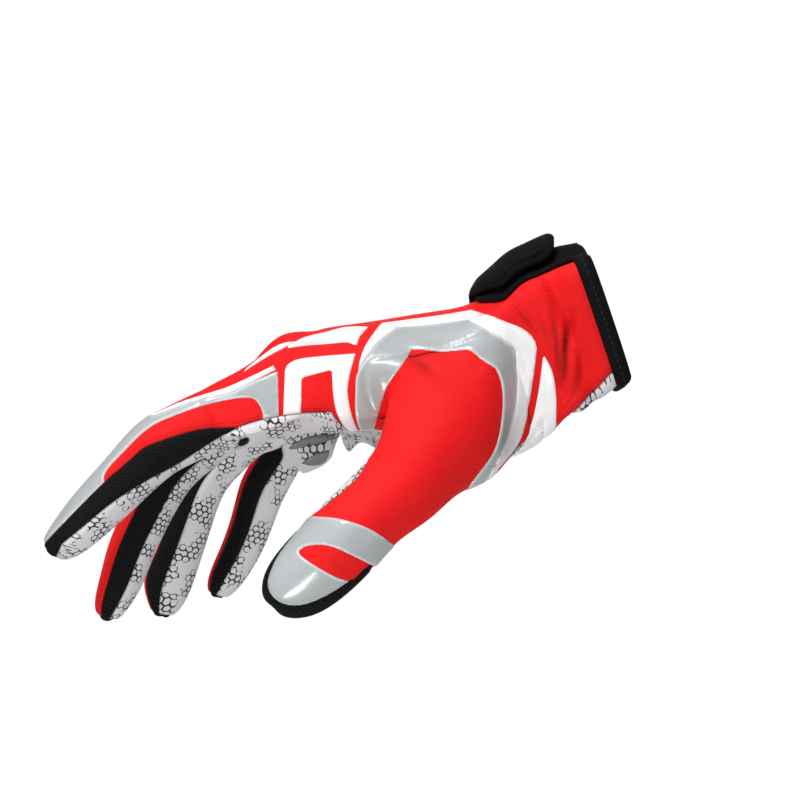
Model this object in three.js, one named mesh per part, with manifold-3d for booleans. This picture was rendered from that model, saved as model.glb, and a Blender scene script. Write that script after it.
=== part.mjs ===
// A right-hand receiver glove in the shape it has when worn: thin sewn panels around an open hand-shaped
// hollow, with films bonded to the back, a bound cuff and a strap over the wrist.
// Millimetres and degrees. The origin is the middle of the cuff's opening, +X runs back along the
// wearer's arm, -Y is the thumb's side and +Z is the side of the back of the hand.

import * as THREE from 'three';
import Module from 'manifold-3d';
import { mergeVertices } from 'three/addons/utils/BufferGeometryUtils.js';

// Cloth and seams
const wall = 1.2; // thickness of every sewn panel
const seamGap = 0.4; // open line between two panels along their seam
const seamBevel = 0.75; // how much wider that line is on the inside, on each panel
const layGap = 0.35; // air between a panel and what lies on it
const filmThickness = 0.8; // the bonded films on the back
const filmMargin = 0.7; // from the edge of a film to the seam beside it

// Cuff
const bindingWidth = 5; // how far the binding reaches in from the cuff's edge
const bindingThickness = 1.4;
const bindingGap = 0.6; // air between the cuff's cloth and the binding
const bindingEvening = 1; // rounds of evening out the binding's turn at the cuff's corners
const patchInset = 13.4; // from the cuff's edge to the closure patch
const patchLength = 27.8; // along the arm
const patchWidth = 46; // across the arm
const patchThickness = 1.5;
const patchRounding = 3;
const strapInset = 15.5; // from the cuff's edge to the wrist strap
const strapLength = 28.5; // along the arm
const strapReach = 20; // from the middle of the wrist to the strap's free end
const strapThickness = 4;
const strapTaper = 6; // the strap thins towards the hand over this length
const strapThinning = 0.7; // share of its thickness that the strap loses there
const strapLift = 1.6; // how far the strap's free corner has come off the patch
const strapRounding = 5;

// Hand
const palmLength = 106; // cuff opening to the knuckles, along X
const palmWidth = 84; // across the hand at the knuckles
const palmDepth = 40; // through the hand at its middle
const fingerLength = 105; // middle finger, knuckle to tip
const fingerWidth = 19; // index finger at its first bone, across
const fingerDepth = 18.5; // the same place, back to palm side
const webReach = 21; // from a knuckle to the web between two fingers
const thumbLength = 119; // wrist joint of the thumb to its tip
const thumbWidth = 25.5; // at its middle bone
const thumbDepth = 22.6;

const radians = THREE.MathUtils.degToRad;

// Rows across the hand from the cuff to just before the knuckles. reach and rise place the middle of a
// row as shares of palmLength and width is a share of palmWidth. top, bottom, arch, hollow and the two
// heels of the palm, on the thumb's side and on the far side, are shares of palmDepth. shoulder and seam
// are how far out the edges of the back and of the palm stand, as shares of the row's half width. bow is
// how far the row's sides lie nearer the arm than its middle, as a share of palmLength.
const handRows = [
  {
    reach: 0, rise: 0, pitch: 19.5, width: 0.74, top: 0.59, bottom: 0.6, bow: 0.008,
    arch: 0, hollow: 0, nearHeel: 0, farHeel: 0, shoulder: 0.9, seam: 0.74,
  },
  {
    reach: 0.07, rise: -0.028, pitch: 20, width: 0.745, top: 0.59, bottom: 0.61, bow: 0.008,
    arch: 0, hollow: 0, nearHeel: 0, farHeel: 0, shoulder: 0.9, seam: 0.72,
  },
  {
    reach: 0.115, rise: -0.045, pitch: 21.5, width: 0.69, top: 0.58, bottom: 0.61, bow: 0.006,
    arch: 0, hollow: 0.01, nearHeel: 0, farHeel: 0, shoulder: 0.9, seam: 0.72,
  },
  {
    reach: 0.15, rise: -0.06, pitch: 21.5, width: 0.755, top: 0.575, bottom: 0.62, bow: 0.004,
    arch: 0, hollow: 0.02, nearHeel: 0.01, farHeel: 0, shoulder: 0.9, seam: 0.72,
  },
  {
    reach: 0.205, rise: -0.083, pitch: 21, width: 0.73, top: 0.55, bottom: 0.62, bow: 0,
    arch: 0, hollow: 0.03, nearHeel: 0.01, farHeel: 0.01, shoulder: 0.9, seam: 0.72,
  },
  {
    reach: 0.305, rise: -0.138, pitch: 18, width: 0.77, top: 0.51, bottom: 0.66, bow: 0,
    arch: 0.02, hollow: 0.07, nearHeel: 0.15, farHeel: 0.08, shoulder: 0.95, seam: 0.72,
  },
  {
    reach: 0.5, rise: -0.17, pitch: 14, width: 0.87, top: 0.49, bottom: 0.62, bow: 0,
    arch: 0.06, hollow: 0.12, nearHeel: 0.16, farHeel: 0.16, shoulder: 0.96, seam: 0.8,
  },
  {
    reach: 0.73, rise: -0.192, pitch: 12, width: 0.96, top: 0.45, bottom: 0.52, bow: 0,
    arch: 0.12, hollow: 0.1, nearHeel: 0, farHeel: 0.3, shoulder: 0.94, seam: 0.9,
  },
  {
    reach: 0.88, rise: -0.208, pitch: 14, width: 1, top: 0.42, bottom: 0.47, bow: 0,
    arch: 0.14, hollow: 0.05, nearHeel: 0, farHeel: 0.34, shoulder: 0.9, seam: 0.9,
  },
];
const rowRoundness = 2.5; // exponent of the rounded section of a row
const hollowSpread = 0.42; // half width of the palm's hollow, as a share of a row's half width
const heelPlace = 0.62; // how far out the middle of each heel of the palm lies, the same way
const heelSpread = 0.4; // half width of a heel, the same way
const firstThumbRow = 5; // the thumb grows from two rows of the hand's side, from this one on

// Fingers: knuckle places are shares of palmLength (back), palmWidth (side) and palmLength (rise), length,
// girth and depth are shares of the middle finger's, and pad is how far the palm side of the knuckle stands
// out, as a share of fingerDepth. edge is the corner of a section where the near strip meets the back, and
// rootEdge is the same corner where the finger leaves the hand.
const fingers = [
  {
    name: 'index', back: 1.0, side: -0.357, rise: -0.24, length: 0.907, girth: 1, depth: 1.14,
    pitch: [23, 42, 47], yaw: [-3, -3, -2], roll: [-16, -12], edge: 160, rootEdge: 194, pad: 0.1,
  },
  {
    name: 'middle', back: 0.985, side: -0.1, rise: -0.187, length: 1.03, girth: 1, depth: 1,
    pitch: [38, 62, 72], yaw: [0, 0, 0], roll: [0, 0], edge: 150, rootEdge: 150, pad: 0.2,
  },
  {
    name: 'ring', back: 0.945, side: 0.155, rise: -0.2, length: 0.965, girth: 0.96, depth: 1,
    pitch: [43, 68, 75], yaw: [7, 4, 2], roll: [14, 44], edge: 150, rootEdge: 150, pad: 0.4,
  },
  {
    name: 'little', back: 0.92, side: 0.381, rise: -0.275, length: 0.725, girth: 0.88, depth: 1,
    pitch: [58, 72, 67], yaw: [6, 4, 2], roll: [22, 32], edge: 150, rootEdge: 150, pad: 0.35,
  },
];
const boneShares = [0.475, 0.28, 0.245]; // of a finger's length, from the knuckle outwards

// Sections of every finger: bone counts from the knuckle, along is the share of that bone.
const fingerRows = [
  { bone: 0, along: 0.62, width: 0.98, depth: 1.0 },
  { bone: 0, along: 0.85, width: 0.98, depth: 0.98 },
  { bone: 1, along: 0.12, width: 0.98, depth: 0.95 },
  { bone: 1, along: 0.6, width: 0.92, depth: 0.87 },
  { bone: 2, along: 0.15, width: 0.88, depth: 0.8 },
  { bone: 2, along: 0.7, width: 0.74, depth: 0.63 },
  { bone: 2, along: 0.96, width: 0.38, depth: 0.31 },
];
// Degrees around a finger's section. The seams are at the first corner, edge in the fingers' table, and here.
const fingerCorners = [90, 30, -30, -90, -150];

// Thumb: its wrist joint as shares of palmLength, palmWidth and palmLength, then one bone after another.
const thumb = {
  name: 'thumb', back: 0.241, side: -0.3, rise: -0.19,
  bones: [0.41, 0.315, 0.275], pitch: [39.5, 44.5, 44.5], yaw: [-27, -15, -3], roll: [-84, -80],
};
const thumbRows = [
  { bone: 0, along: 0.74, width: 1.6, depth: 1.35, free: 0.66, lean: 0.3 },
  { bone: 1, along: 0.02, width: 1.24, depth: 1.16, free: 0.88, lean: 0.1 },
  { bone: 1, along: 0.3, width: 1.04, depth: 1.04 },
  { bone: 1, along: 0.65, width: 0.99, depth: 1.0 },
  { bone: 2, along: 0.05, width: 0.99, depth: 0.98 },
  { bone: 2, along: 0.42, width: 0.97, depth: 0.9 },
  { bone: 2, along: 0.78, width: 0.78, depth: 0.68 },
  { bone: 2, along: 0.97, width: 0.4, depth: 0.36 },
];
const thumbCorners = [164, 90, 16, -32, -90, -148];
const thumbGussetFrom = 5; // the thumb's side strips start at this row

// A bone's direction: pitch below the horizontal, yaw away from the thumb's side.
function boneDirection(pitch, yaw) {
  const level = Math.cos(radians(yaw));
  return new THREE.Vector3(
    -Math.cos(radians(pitch)) * level,
    Math.sin(radians(yaw)),
    -Math.sin(radians(pitch)) * level,
  );
}

// The point on a chain of bones, with the direction of the digit and of its back there.
function digitFrame(digit, bones, bone, along) {
  const point = new THREE.Vector3(-digit.back * palmLength, digit.side * palmWidth, digit.rise * palmLength);
  for (let i = 0; i < bone; i++) {
    point.addScaledVector(boneDirection(digit.pitch[i], digit.yaw[i]), bones[i]);
  }
  const here = boneDirection(digit.pitch[bone], digit.yaw[bone]);
  point.addScaledVector(here, bones[bone] * along);
  const other = along < 0.5 ? bone - 1 : bone + 1;
  const turn = other < 0 || other > 2 ? 0 : Math.abs(along - 0.5);
  const tangent = here.clone();
  if (turn > 0) {
    tangent.lerp(boneDirection(digit.pitch[other], digit.yaw[other]), turn).normalize();
  }
  const progress = (bone + along) / 3;
  const roll = radians(THREE.MathUtils.lerp(digit.roll[0], digit.roll[1], progress));
  const up = new THREE.Vector3(0, 0, 1);
  if (Math.abs(tangent.z) > 0) {
    up.set(tangent.z * Math.sign(-tangent.x), 0, Math.abs(tangent.x)).normalize();
  }
  const side = tangent.clone().cross(up).normalize();
  up.crossVectors(side, tangent);
  const back = up.clone().multiplyScalar(Math.cos(roll)).addScaledVector(side, Math.sin(roll));
  const across = tangent.clone().cross(back);
  return { point, tangent, back, across };
}

// Points around one section of a digit.
function sectionPoints(frame, halfWidth, halfDepth, corners) {
  return corners.map((degrees) => frame.point.clone()
    .addScaledVector(frame.across, halfWidth * Math.cos(radians(degrees)))
    .addScaledVector(frame.back, halfDepth * Math.sin(radians(degrees))));
}

// Points around one row of the hand, from the thumb's side over the back and home along the palm.
function handRowPoints(row) {
  const halfWidth = row.width * palmWidth / 2;
  const pitch = radians(row.pitch);
  const up = new THREE.Vector3(-Math.sin(pitch), 0, Math.cos(pitch));
  const middle = new THREE.Vector3(-row.reach * palmLength, 0, row.rise * palmLength);
  const columns = 9;
  const points = [];
  const bump = (share, place, spread) => Math.exp(-(((share - place) / spread) ** 2));
  const addSide = (height, order, edge, shapeOf) => {
    for (let i = 0; i < columns; i++) {
      const share = order * (2 * i / (columns - 1) - 1) * edge;
      const rounded = (1 - Math.abs(share) ** rowRoundness) ** (1 / rowRoundness);
      const lift = palmDepth * (height * rounded - row.arch * share * share + shapeOf(share));
      const point = middle.clone().addScaledVector(up, lift);
      point.x += row.bow * palmLength * share * share;
      point.y = share * halfWidth;
      points.push(point);
    }
  };
  addSide(row.top, 1, row.shoulder, () => 0);
  addSide(-row.bottom, -1, row.seam, (share) => row.hollow * bump(share, 0, hollowSpread)
    - row.nearHeel * bump(share, -heelPlace, heelSpread) - row.farHeel * bump(share, heelPlace, heelSpread));
  return points;
}

// The row at the knuckles or at the webs, made of the four fingers' own sections at that reach.
function fingerRowPoints(reach, widen, deepen, webDip, padShare) {
  const rings = fingers.map((finger) => {
    const bones = boneShares.map((share) => share * finger.length * fingerLength);
    const frame = digitFrame(finger, bones, 0, reach / bones[0]);
    const halfWidth = widen * finger.girth * fingerWidth / 2;
    const halfDepth = deepen * finger.girth * finger.depth * fingerDepth / 2;
    const section = sectionPoints(frame, halfWidth, halfDepth, [finger.rootEdge, ...fingerCorners]);
    const pad = padShare * finger.pad * fingerDepth;
    section.slice(3).forEach((point) => point.addScaledVector(frame.back, -pad));
    return section;
  });
  const back = [rings[0][0]];
  const palm = [rings[0][5]];
  for (let i = 0; i < rings.length; i++) {
    back.push(rings[i][1]);
    palm.push(rings[i][4]);
    if (i + 1 < rings.length) {
      const backWeb = rings[i][2].clone().lerp(rings[i + 1][0], 0.5);
      const palmWeb = rings[i][3].clone().lerp(rings[i + 1][5], 0.5);
      back.push(backWeb.clone().lerp(palmWeb, webDip));
      palm.push(palmWeb.lerp(backWeb, webDip));
    }
  }
  back.push(rings[3][2]);
  palm.push(rings[3][3]);
  return [...back, ...palm.reverse()];
}

// The cage: four-sided faces, each with the name of the panel it belongs to.
function buildCage() {
  const points = [];
  const faces = [];
  const addRing = (ring) => ring.map((point) => points.push(point) - 1);
  const joinRings = (from, to, nameOf) => {
    for (let i = 0; i < from.length; i++) {
      const next = (i + 1) % from.length;
      const panel = nameOf(i);
      if (panel) faces.push({ corners: [from[i], from[next], to[next], to[i]], panel });
    }
  };
  const closeTip = (ring, firstPanel, secondPanel) => {
    faces.push({ corners: [ring[0], ring[1], ring[4], ring[5]], panel: firstPanel });
    faces.push({ corners: [ring[1], ring[2], ring[3], ring[4]], panel: secondPanel });
  };

  const rows = handRows.map((row) => addRing(handRowPoints(row)));
  rows.push(addRing(fingerRowPoints(0, 1.12, 1.38, 0.06, 1)));
  rows.push(addRing(fingerRowPoints(webReach, 1.04, 1.1, 0.16, 0.3)));
  for (let i = 0; i + 1 < rows.length; i++) {
    const inThumb = i === firstThumbRow || i === firstThumbRow + 1;
    joinRings(rows[i], rows[i + 1], (column) => {
      if (column === 17 && inThumb) return null;
      return column > 8 && column < 17 ? 'palm_panel' : 'back_panel';
    });
  }

  const webs = rows[rows.length - 1];
  fingers.forEach((finger, index) => {
    const bones = boneShares.map((share) => share * finger.length * fingerLength);
    const left = 2 * index;
    const gussets = [
      index === 0 ? 'index_outer_gusset' : `${fingers[index - 1].name}_${finger.name}_gusset`,
      index === 3 ? 'little_outer_gusset' : `${finger.name}_${fingers[index + 1].name}_gusset`,
    ];
    const panelOf = (column) => {
      if (column < 2) return 'back_panel';
      if (column === 2) return gussets[1];
      return column === 5 ? gussets[0] : 'palm_panel';
    };
    let last = [left, left + 1, left + 2, 15 - left, 16 - left, 17 - left].map((column) => webs[column]);
    for (const row of fingerRows) {
      const frame = digitFrame(finger, bones, row.bone, row.along);
      const ring = addRing(sectionPoints(
        frame,
        row.width * finger.girth * fingerWidth / 2,
        row.depth * finger.girth * finger.depth * fingerDepth / 2,
        [finger.edge, ...fingerCorners],
      ));
      joinRings(last, ring, panelOf);
      last = ring;
    }
    closeTip(last, gussets[0], gussets[1]);
  });

  const [nearRow, middleRow, farRow] = rows.slice(firstThumbRow, firstThumbRow + 3);
  const root = [nearRow[0], middleRow[0], farRow[0], farRow[17], middleRow[17], nearRow[17]];
  let last = root;
  const thumbBones = thumb.bones.map((share) => share * thumbLength);
  thumbRows.forEach((row, index) => {
    const frame = digitFrame(thumb, thumbBones, row.bone, row.along);
    const halfWidth = row.width * thumbWidth / 2;
    const halfDepth = row.depth * thumbDepth / 2;
    const section = sectionPoints(frame, halfWidth, halfDepth, thumbCorners);
    section.slice(3).forEach((point) => point.addScaledVector(frame.tangent, (row.lean ?? 0) * thumbDepth));
    const ring = addRing(section.map((point, i) => points[root[i]].clone().lerp(point, row.free ?? 1)));
    joinRings(last, ring, (column) => {
      if (column === 3 || column === 4) return 'thumb_palm_panel';
      if (column < 2 || index < thumbGussetFrom) return 'thumb_back_panel';
      return 'thumb_gusset';
    });
    last = ring;
  });
  closeTip(last, 'thumb_gusset', 'thumb_gusset');
  return { points, faces };
}

const edgeKey = (a, b) => (a < b ? `${a},${b}` : `${b},${a}`);

// Every edge of a mesh with the faces on it.
function edgesOf(mesh) {
  const edges = new Map();
  mesh.faces.forEach((face, index) => {
    face.corners.forEach((a, i) => {
      const b = face.corners[(i + 1) % face.corners.length];
      const key = edgeKey(a, b);
      if (!edges.has(key)) edges.set(key, { a, b, faces: [] });
      edges.get(key).faces.push(index);
    });
  });
  return edges;
}

// Where each point of the cage ends up on the smooth surface.
function limitPoints(mesh) {
  const ends = mesh.points.map(() => ({ near: [], far: [], rim: [] }));
  for (const { a, b, faces } of edgesOf(mesh).values()) {
    ends[a].near.push(b);
    ends[b].near.push(a);
    if (faces.length === 1) {
      ends[a].rim.push(b);
      ends[b].rim.push(a);
    }
  }
  for (const { corners } of mesh.faces) {
    corners.forEach((corner, i) => ends[corner].far.push(corners[(i + 2) % 4]));
  }
  return mesh.points.map((point, i) => {
    const { near, far, rim } = ends[i];
    const limit = new THREE.Vector3();
    if (rim.length) {
      limit.addScaledVector(point, 4);
      rim.forEach((j) => limit.add(mesh.points[j]));
      return limit.divideScalar(4 + rim.length);
    }
    const count = near.length;
    limit.addScaledVector(point, count * count);
    near.forEach((j) => limit.addScaledVector(mesh.points[j], 4));
    far.forEach((j) => limit.add(mesh.points[j]));
    return limit.divideScalar(count * (count + 5));
  });
}

// Moves the cage until its smooth surface passes through the points of the tables.
function fitCage(cage) {
  const targets = cage.points.map((point) => point.clone());
  const rounds = 8;
  for (let round = 0; round < rounds; round++) {
    const limits = limitPoints(cage);
    cage.points.forEach((point, i) => point.add(targets[i]).sub(limits[i]));
  }
  return cage;
}

// One step of Catmull-Clark subdivision.
function subdivide(mesh) {
  const points = [];
  const centres = mesh.faces.map(({ corners }) => {
    const centre = new THREE.Vector3();
    corners.forEach((corner) => centre.add(mesh.points[corner]));
    return centre.divideScalar(corners.length);
  });
  const around = mesh.points.map(() => ({ centres: [], middles: [], rim: [] }));
  mesh.faces.forEach(({ corners }, index) => {
    corners.forEach((corner) => around[corner].centres.push(centres[index]));
  });
  const edges = edgesOf(mesh);
  const middles = new Map();
  for (const [key, { a, b, faces }] of edges) {
    const middle = mesh.points[a].clone().add(mesh.points[b]).multiplyScalar(0.5);
    around[a].middles.push(middle);
    around[b].middles.push(middle);
    if (faces.length === 1) {
      around[a].rim.push(middle);
      around[b].rim.push(middle);
      middles.set(key, middle.clone());
    } else {
      const pair = centres[faces[0]].clone().add(centres[faces[1]]).multiplyScalar(0.5);
      middles.set(key, middle.clone().add(pair).multiplyScalar(0.5));
    }
  }
  const average = (list) => list.reduce((sum, v) => sum.add(v), new THREE.Vector3()).divideScalar(list.length);
  mesh.points.forEach((point, i) => {
    const { centres: faceCentres, middles: edgeMiddles, rim } = around[i];
    if (rim.length) {
      points.push(average(rim).add(point).multiplyScalar(0.5));
      return;
    }
    const count = faceCentres.length;
    points.push(average(faceCentres)
      .addScaledVector(average(edgeMiddles), 2)
      .addScaledVector(point, count - 3)
      .divideScalar(count));
  });
  const middleIndex = new Map();
  for (const [key, point] of middles) middleIndex.set(key, points.push(point) - 1);
  const faces = [];
  mesh.faces.forEach(({ corners, panel }, index) => {
    const centre = points.push(centres[index]) - 1;
    corners.forEach((corner, i) => {
      const before = corners[(i + corners.length - 1) % corners.length];
      const after = corners[(i + 1) % corners.length];
      faces.push({
        corners: [corner, middleIndex.get(edgeKey(corner, after)), centre, middleIndex.get(edgeKey(before, corner))],
        panel,
      });
    });
  });
  return { points, faces };
}

function vertexNormals(mesh) {
  const normals = mesh.points.map(() => new THREE.Vector3());
  for (const { corners } of mesh.faces) {
    const [a, b, c, d] = corners.map((corner) => mesh.points[corner]);
    const normal = new THREE.Vector3().crossVectors(c.clone().sub(a), d.clone().sub(b));
    corners.forEach((corner) => normals[corner].add(normal));
  }
  return normals.map((normal) => normal.normalize());
}

// The smooth outer surface of the glove.
const cage = fitCage(buildCage());
const fine = subdivide(cage);
const skin = { points: limitPoints(fine), faces: fine.faces };
skin.normals = vertexNormals(skin);

function geometryFrom(points, triangles) {
  const geometry = new THREE.BufferGeometry();
  geometry.setAttribute('position', new THREE.Float32BufferAttribute(points.flatMap((p) => p.toArray()), 3));
  geometry.setIndex(triangles.flat());
  geometry.computeVertexNormals();
  return geometry;
}

// A closed solid between two offsets of some faces of the skin, drawn back from its edges, and on its inner
// side also by the bevel. An offset is a length, or a function that gives the length at a point.
function layer(faces, inner, outer, drawnBack, bevel = 0) {
  const next = new Map();
  const previous = new Map();
  const edges = edgesOf({ faces });
  for (const { corners } of faces) {
    corners.forEach((a, i) => {
      const b = corners[(i + 1) % corners.length];
      if (edges.get(edgeKey(a, b)).faces.length === 1) {
        next.set(a, b);
        previous.set(b, a);
      }
    });
  }
  const used = [...new Set(faces.flatMap(({ corners }) => corners))];
  const order = new Map(used.map((corner, i) => [corner, i]));
  const place = (corner, offset, back) => {
    const point = skin.points[corner].clone();
    const height = typeof offset === 'function' ? offset(point) : offset;
    point.addScaledVector(skin.normals[corner], height);
    if (next.has(corner)) {
      const along = skin.points[next.get(corner)].clone().sub(skin.points[previous.get(corner)]);
      point.addScaledVector(skin.normals[corner].clone().cross(along).normalize(), back);
    }
    return point;
  };
  const points = [
    ...used.map((corner) => place(corner, outer, drawnBack)),
    ...used.map((corner) => place(corner, inner, drawnBack + bevel)),
  ];
  const triangles = [];
  for (const { corners } of faces) {
    const [a, b, c, d] = corners.map((corner) => order.get(corner));
    const under = used.length;
    triangles.push([a, b, c], [a, c, d]);
    triangles.push([under + a, under + c, under + b], [under + a, under + d, under + c]);
  }
  for (const [a, b] of next) {
    const [from, to] = [order.get(a), order.get(b)];
    triangles.push([to, from, used.length + from], [to, used.length + from, used.length + to]);
  }
  return geometryFrom(points, triangles);
}

const flatness = 0.14; // facets that lie this close to one plane are joined

const wasm = await Module();
wasm.setup();

function solidFrom(geometry) {
  const plain = new THREE.BufferGeometry();
  plain.setAttribute('position', geometry.getAttribute('position'));
  plain.setIndex(geometry.index);
  const merged = mergeVertices(plain, 1e-4);
  return new wasm.Manifold(new wasm.Mesh({
    numProp: 3,
    vertProperties: merged.attributes.position.array,
    triVerts: Uint32Array.from(merged.index.array),
  }));
}

// The largest body of a solid, as a geometry.
function geometryOf(solid) {
  const largest = solid.decompose().reduce((best, body) => (body.volume() > best.volume() ? body : best));
  const { vertProperties, triVerts } = largest.simplify(flatness).getMesh();
  const geometry = new THREE.BufferGeometry();
  geometry.setAttribute('position', new THREE.BufferAttribute(vertProperties, 3));
  geometry.setIndex(new THREE.BufferAttribute(triVerts, 1));
  geometry.computeVertexNormals();
  return geometry;
}

const outlineSteps = 3; // straight pieces between two points of a smooth run
const outlineEvenness = 0.02; // points of an outline that lie this close to a straight line are left out

// A closed outline through the points of a table: smooth, with a sharp turn at each point marked corner.
function outlinePlaces(points) {
  const shape = new THREE.Shape();
  const start = points.findIndex(({ corner }) => corner);
  const turned = [...points.slice(start), ...points.slice(0, start), points[start]];
  let run = [turned[0].place];
  shape.moveTo(turned[0].place.x, turned[0].place.y);
  for (const { place, corner } of turned.slice(1)) {
    run.push(place);
    if (!corner) continue;
    if (run.length === 2) shape.lineTo(place.x, place.y);
    else shape.splineThru(run.slice(1));
    run = [place];
  }
  return shape.getPoints(outlineSteps).map(({ x, y }) => [x, y]);
}

// Films: outlines in the side view, seen from the thumb's side. reach runs away from the cuff and rise up,
// both from the start of the part that the film lies on and as shares of its length.
const filmPlaces = {
  hand: { x: 0, z: 0, size: palmLength, nearest: -0.1 },
  index: {
    x: -fingers[0].back * palmLength, z: fingers[0].rise * palmLength,
    size: fingers[0].length * fingerLength, nearest: -0.37,
  },
  thumb: { x: -thumb.back * palmLength, z: thumb.rise * palmLength, size: thumbLength, nearest: -0.3 },
};
const outlines = {
  capEdge: [
    { reach: 0.7, rise: -0.394, corner: true },
    { reach: 0.6, rise: -0.39 },
    { reach: 0.513, rise: -0.396 },
    { reach: 0.424, rise: -0.43 },
    { reach: 0.33, rise: -0.505, corner: true },
    { reach: 0.33, rise: -0.8, corner: true },
    { reach: 0.9, rise: -0.8, corner: true },
  ],
  capFlame: [
    { reach: 0.63, rise: -0.484 },
    { reach: 0.6, rise: -0.467 },
    { reach: 0.538, rise: -0.47 },
    { reach: 0.433, rise: -0.522 },
    { reach: 0.37, rise: -0.57, corner: true },
    { reach: 0.4, rise: -0.63, corner: true },
    { reach: 0.487, rise: -0.568 },
    { reach: 0.53, rise: -0.552 },
    { reach: 0.605, rise: -0.508 },
  ],
  archEdge: [
    { reach: 0.745, rise: -0.408, corner: true },
    { reach: 0.777, rise: -0.335 },
    { reach: 0.78, rise: -0.247 },
    { reach: 0.772, rise: -0.185 },
    { reach: 0.711, rise: -0.095 },
    { reach: 0.648, rise: -0.044, corner: true },
    { reach: 0.54, rise: -0.037 },
    { reach: 0.431, rise: -0.021, corner: true },
    { reach: 0.281, rise: -0.107, corner: true },
    { reach: 0.275, rise: -0.235 },
    { reach: 0.299, rise: -0.372 },
    { reach: 0.356, rise: -0.49 },
    { reach: 0.42, rise: -0.62, corner: true },
  ],
  archOpening: [
    { reach: 0.735, rise: -0.405, corner: true },
    { reach: 0.713, rise: -0.332 },
    { reach: 0.688, rise: -0.248 },
    { reach: 0.666, rise: -0.208 },
    { reach: 0.632, rise: -0.161 },
    { reach: 0.607, rise: -0.114, corner: true },
    { reach: 0.52, rise: -0.121 },
    { reach: 0.427, rise: -0.117, corner: true },
    { reach: 0.34, rise: -0.179, corner: true },
    { reach: 0.324, rise: -0.235 },
    { reach: 0.325, rise: -0.322 },
    { reach: 0.35, rise: -0.428 },
    { reach: 0.425, rise: -0.535 },
    { reach: 0.5, rise: -0.66, corner: true },
    { reach: 0.95, rise: -0.66, corner: true },
  ],
  borderEdge: [
    { reach: 0.779, rise: -0.23, corner: true },
    { reach: 0.776, rise: -0.161 },
    { reach: 0.755, rise: -0.095 },
    { reach: 0.701, rise: -0.03, corner: true },
    { reach: 0.512, rise: -0.005 },
    { reach: 0.415, rise: 0.012, corner: true },
    { reach: 0.256, rise: -0.05 },
    { reach: 0.211, rise: -0.1, corner: true },
    { reach: 0.224, rise: -0.21 },
    { reach: 0.262, rise: -0.392 },
    { reach: 0.345, rise: -0.5 },
    { reach: 0.4, rise: -0.6, corner: true },
    { reach: 0.5, rise: -0.4, corner: true },
  ],
  finEdge: [
    { reach: 0.192, rise: -0.128, corner: true },
    { reach: 0.163, rise: -0.181 },
    { reach: 0.15, rise: -0.257 },
    { reach: 0.149, rise: -0.348, corner: true },
    { reach: 0.149, rise: -0.5, corner: true },
    { reach: 0.33, rise: -0.58, corner: true },
    { reach: 0.297, rise: -0.462 },
    { reach: 0.243, rise: -0.398 },
    { reach: 0.208, rise: -0.257 },
  ],
  frameEdge: [
    { reach: 0.999, rise: -0.164, corner: true },
    { reach: 0.95, rise: -0.139 },
    { reach: 0.785, rise: -0.123, corner: true },
    { reach: 0.806, rise: -0.195 },
    { reach: 0.812, rise: -0.255 },
    { reach: 0.795, rise: -0.335 },
    { reach: 0.755, rise: -0.41, corner: true },
    { reach: 0.755, rise: -0.5, corner: true },
    { reach: 1.01, rise: -0.5, corner: true },
  ],
  frameOpening: [
    { reach: 0.946, rise: -0.204, corner: true },
    { reach: 0.853, rise: -0.179, corner: true },
    { reach: 0.849, rise: -0.254 },
    { reach: 0.835, rise: -0.32 },
    { reach: 0.79, rise: -0.4, corner: true },
    { reach: 0.79, rise: -0.55, corner: true },
    { reach: 0.955, rise: -0.55, corner: true },
  ],
  bandEdge: [
    { reach: 0.996, rise: -0.105, corner: true },
    { reach: 0.955, rise: -0.083 },
    { reach: 0.835, rise: -0.051 },
    { reach: 0.749, rise: -0.039, corner: true },
    { reach: 0.779, rise: -0.104, corner: true },
    { reach: 0.804, rise: -0.094, corner: true },
    { reach: 0.951, rise: -0.107 },
  ],
  indexEdge: [
    { reach: 0.85, rise: -0.45, corner: true },
    { reach: 0.7, rise: -0.25, corner: true },
    { reach: 0.5, rise: -0.08, corner: true },
    { reach: 0.444, rise: -0.096, corner: true },
    { reach: 0.332, rise: -0.05 },
    { reach: 0.223, rise: -0.005 },
    { reach: 0.023, rise: 0.063, corner: true },
    { reach: 0.017, rise: -0.2, corner: true },
    { reach: 0.3, rise: -0.5, corner: true },
    { reach: 0.85, rise: -0.7, corner: true },
  ],
  indexOpening: [
    { reach: 0.618, rise: -0.34, corner: true },
    { reach: 0.617, rise: -0.286 },
    { reach: 0.545, rise: -0.205 },
    { reach: 0.476, rise: -0.14 },
    { reach: 0.404, rise: -0.1 },
    { reach: 0.259, rise: -0.05 },
    { reach: 0.129, rise: -0.029 },
    { reach: 0.087, rise: -0.055 },
    { reach: 0.074, rise: -0.11 },
    { reach: 0.074, rise: -0.3, corner: true },
    { reach: 0.5, rise: -0.5, corner: true },
  ],
  stripeEdge: [
    { reach: 0.44, rise: -0.084, corner: true },
    { reach: 0.332, rise: -0.036 },
    { reach: 0.223, rise: 0.011 },
    { reach: 0.024, rise: 0.095, corner: true },
    { reach: 0.023, rise: 0.065, corner: true },
    { reach: 0.223, rise: -0.001 },
    { reach: 0.332, rise: -0.047 },
    { reach: 0.44, rise: -0.094, corner: true },
  ],
};
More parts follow.
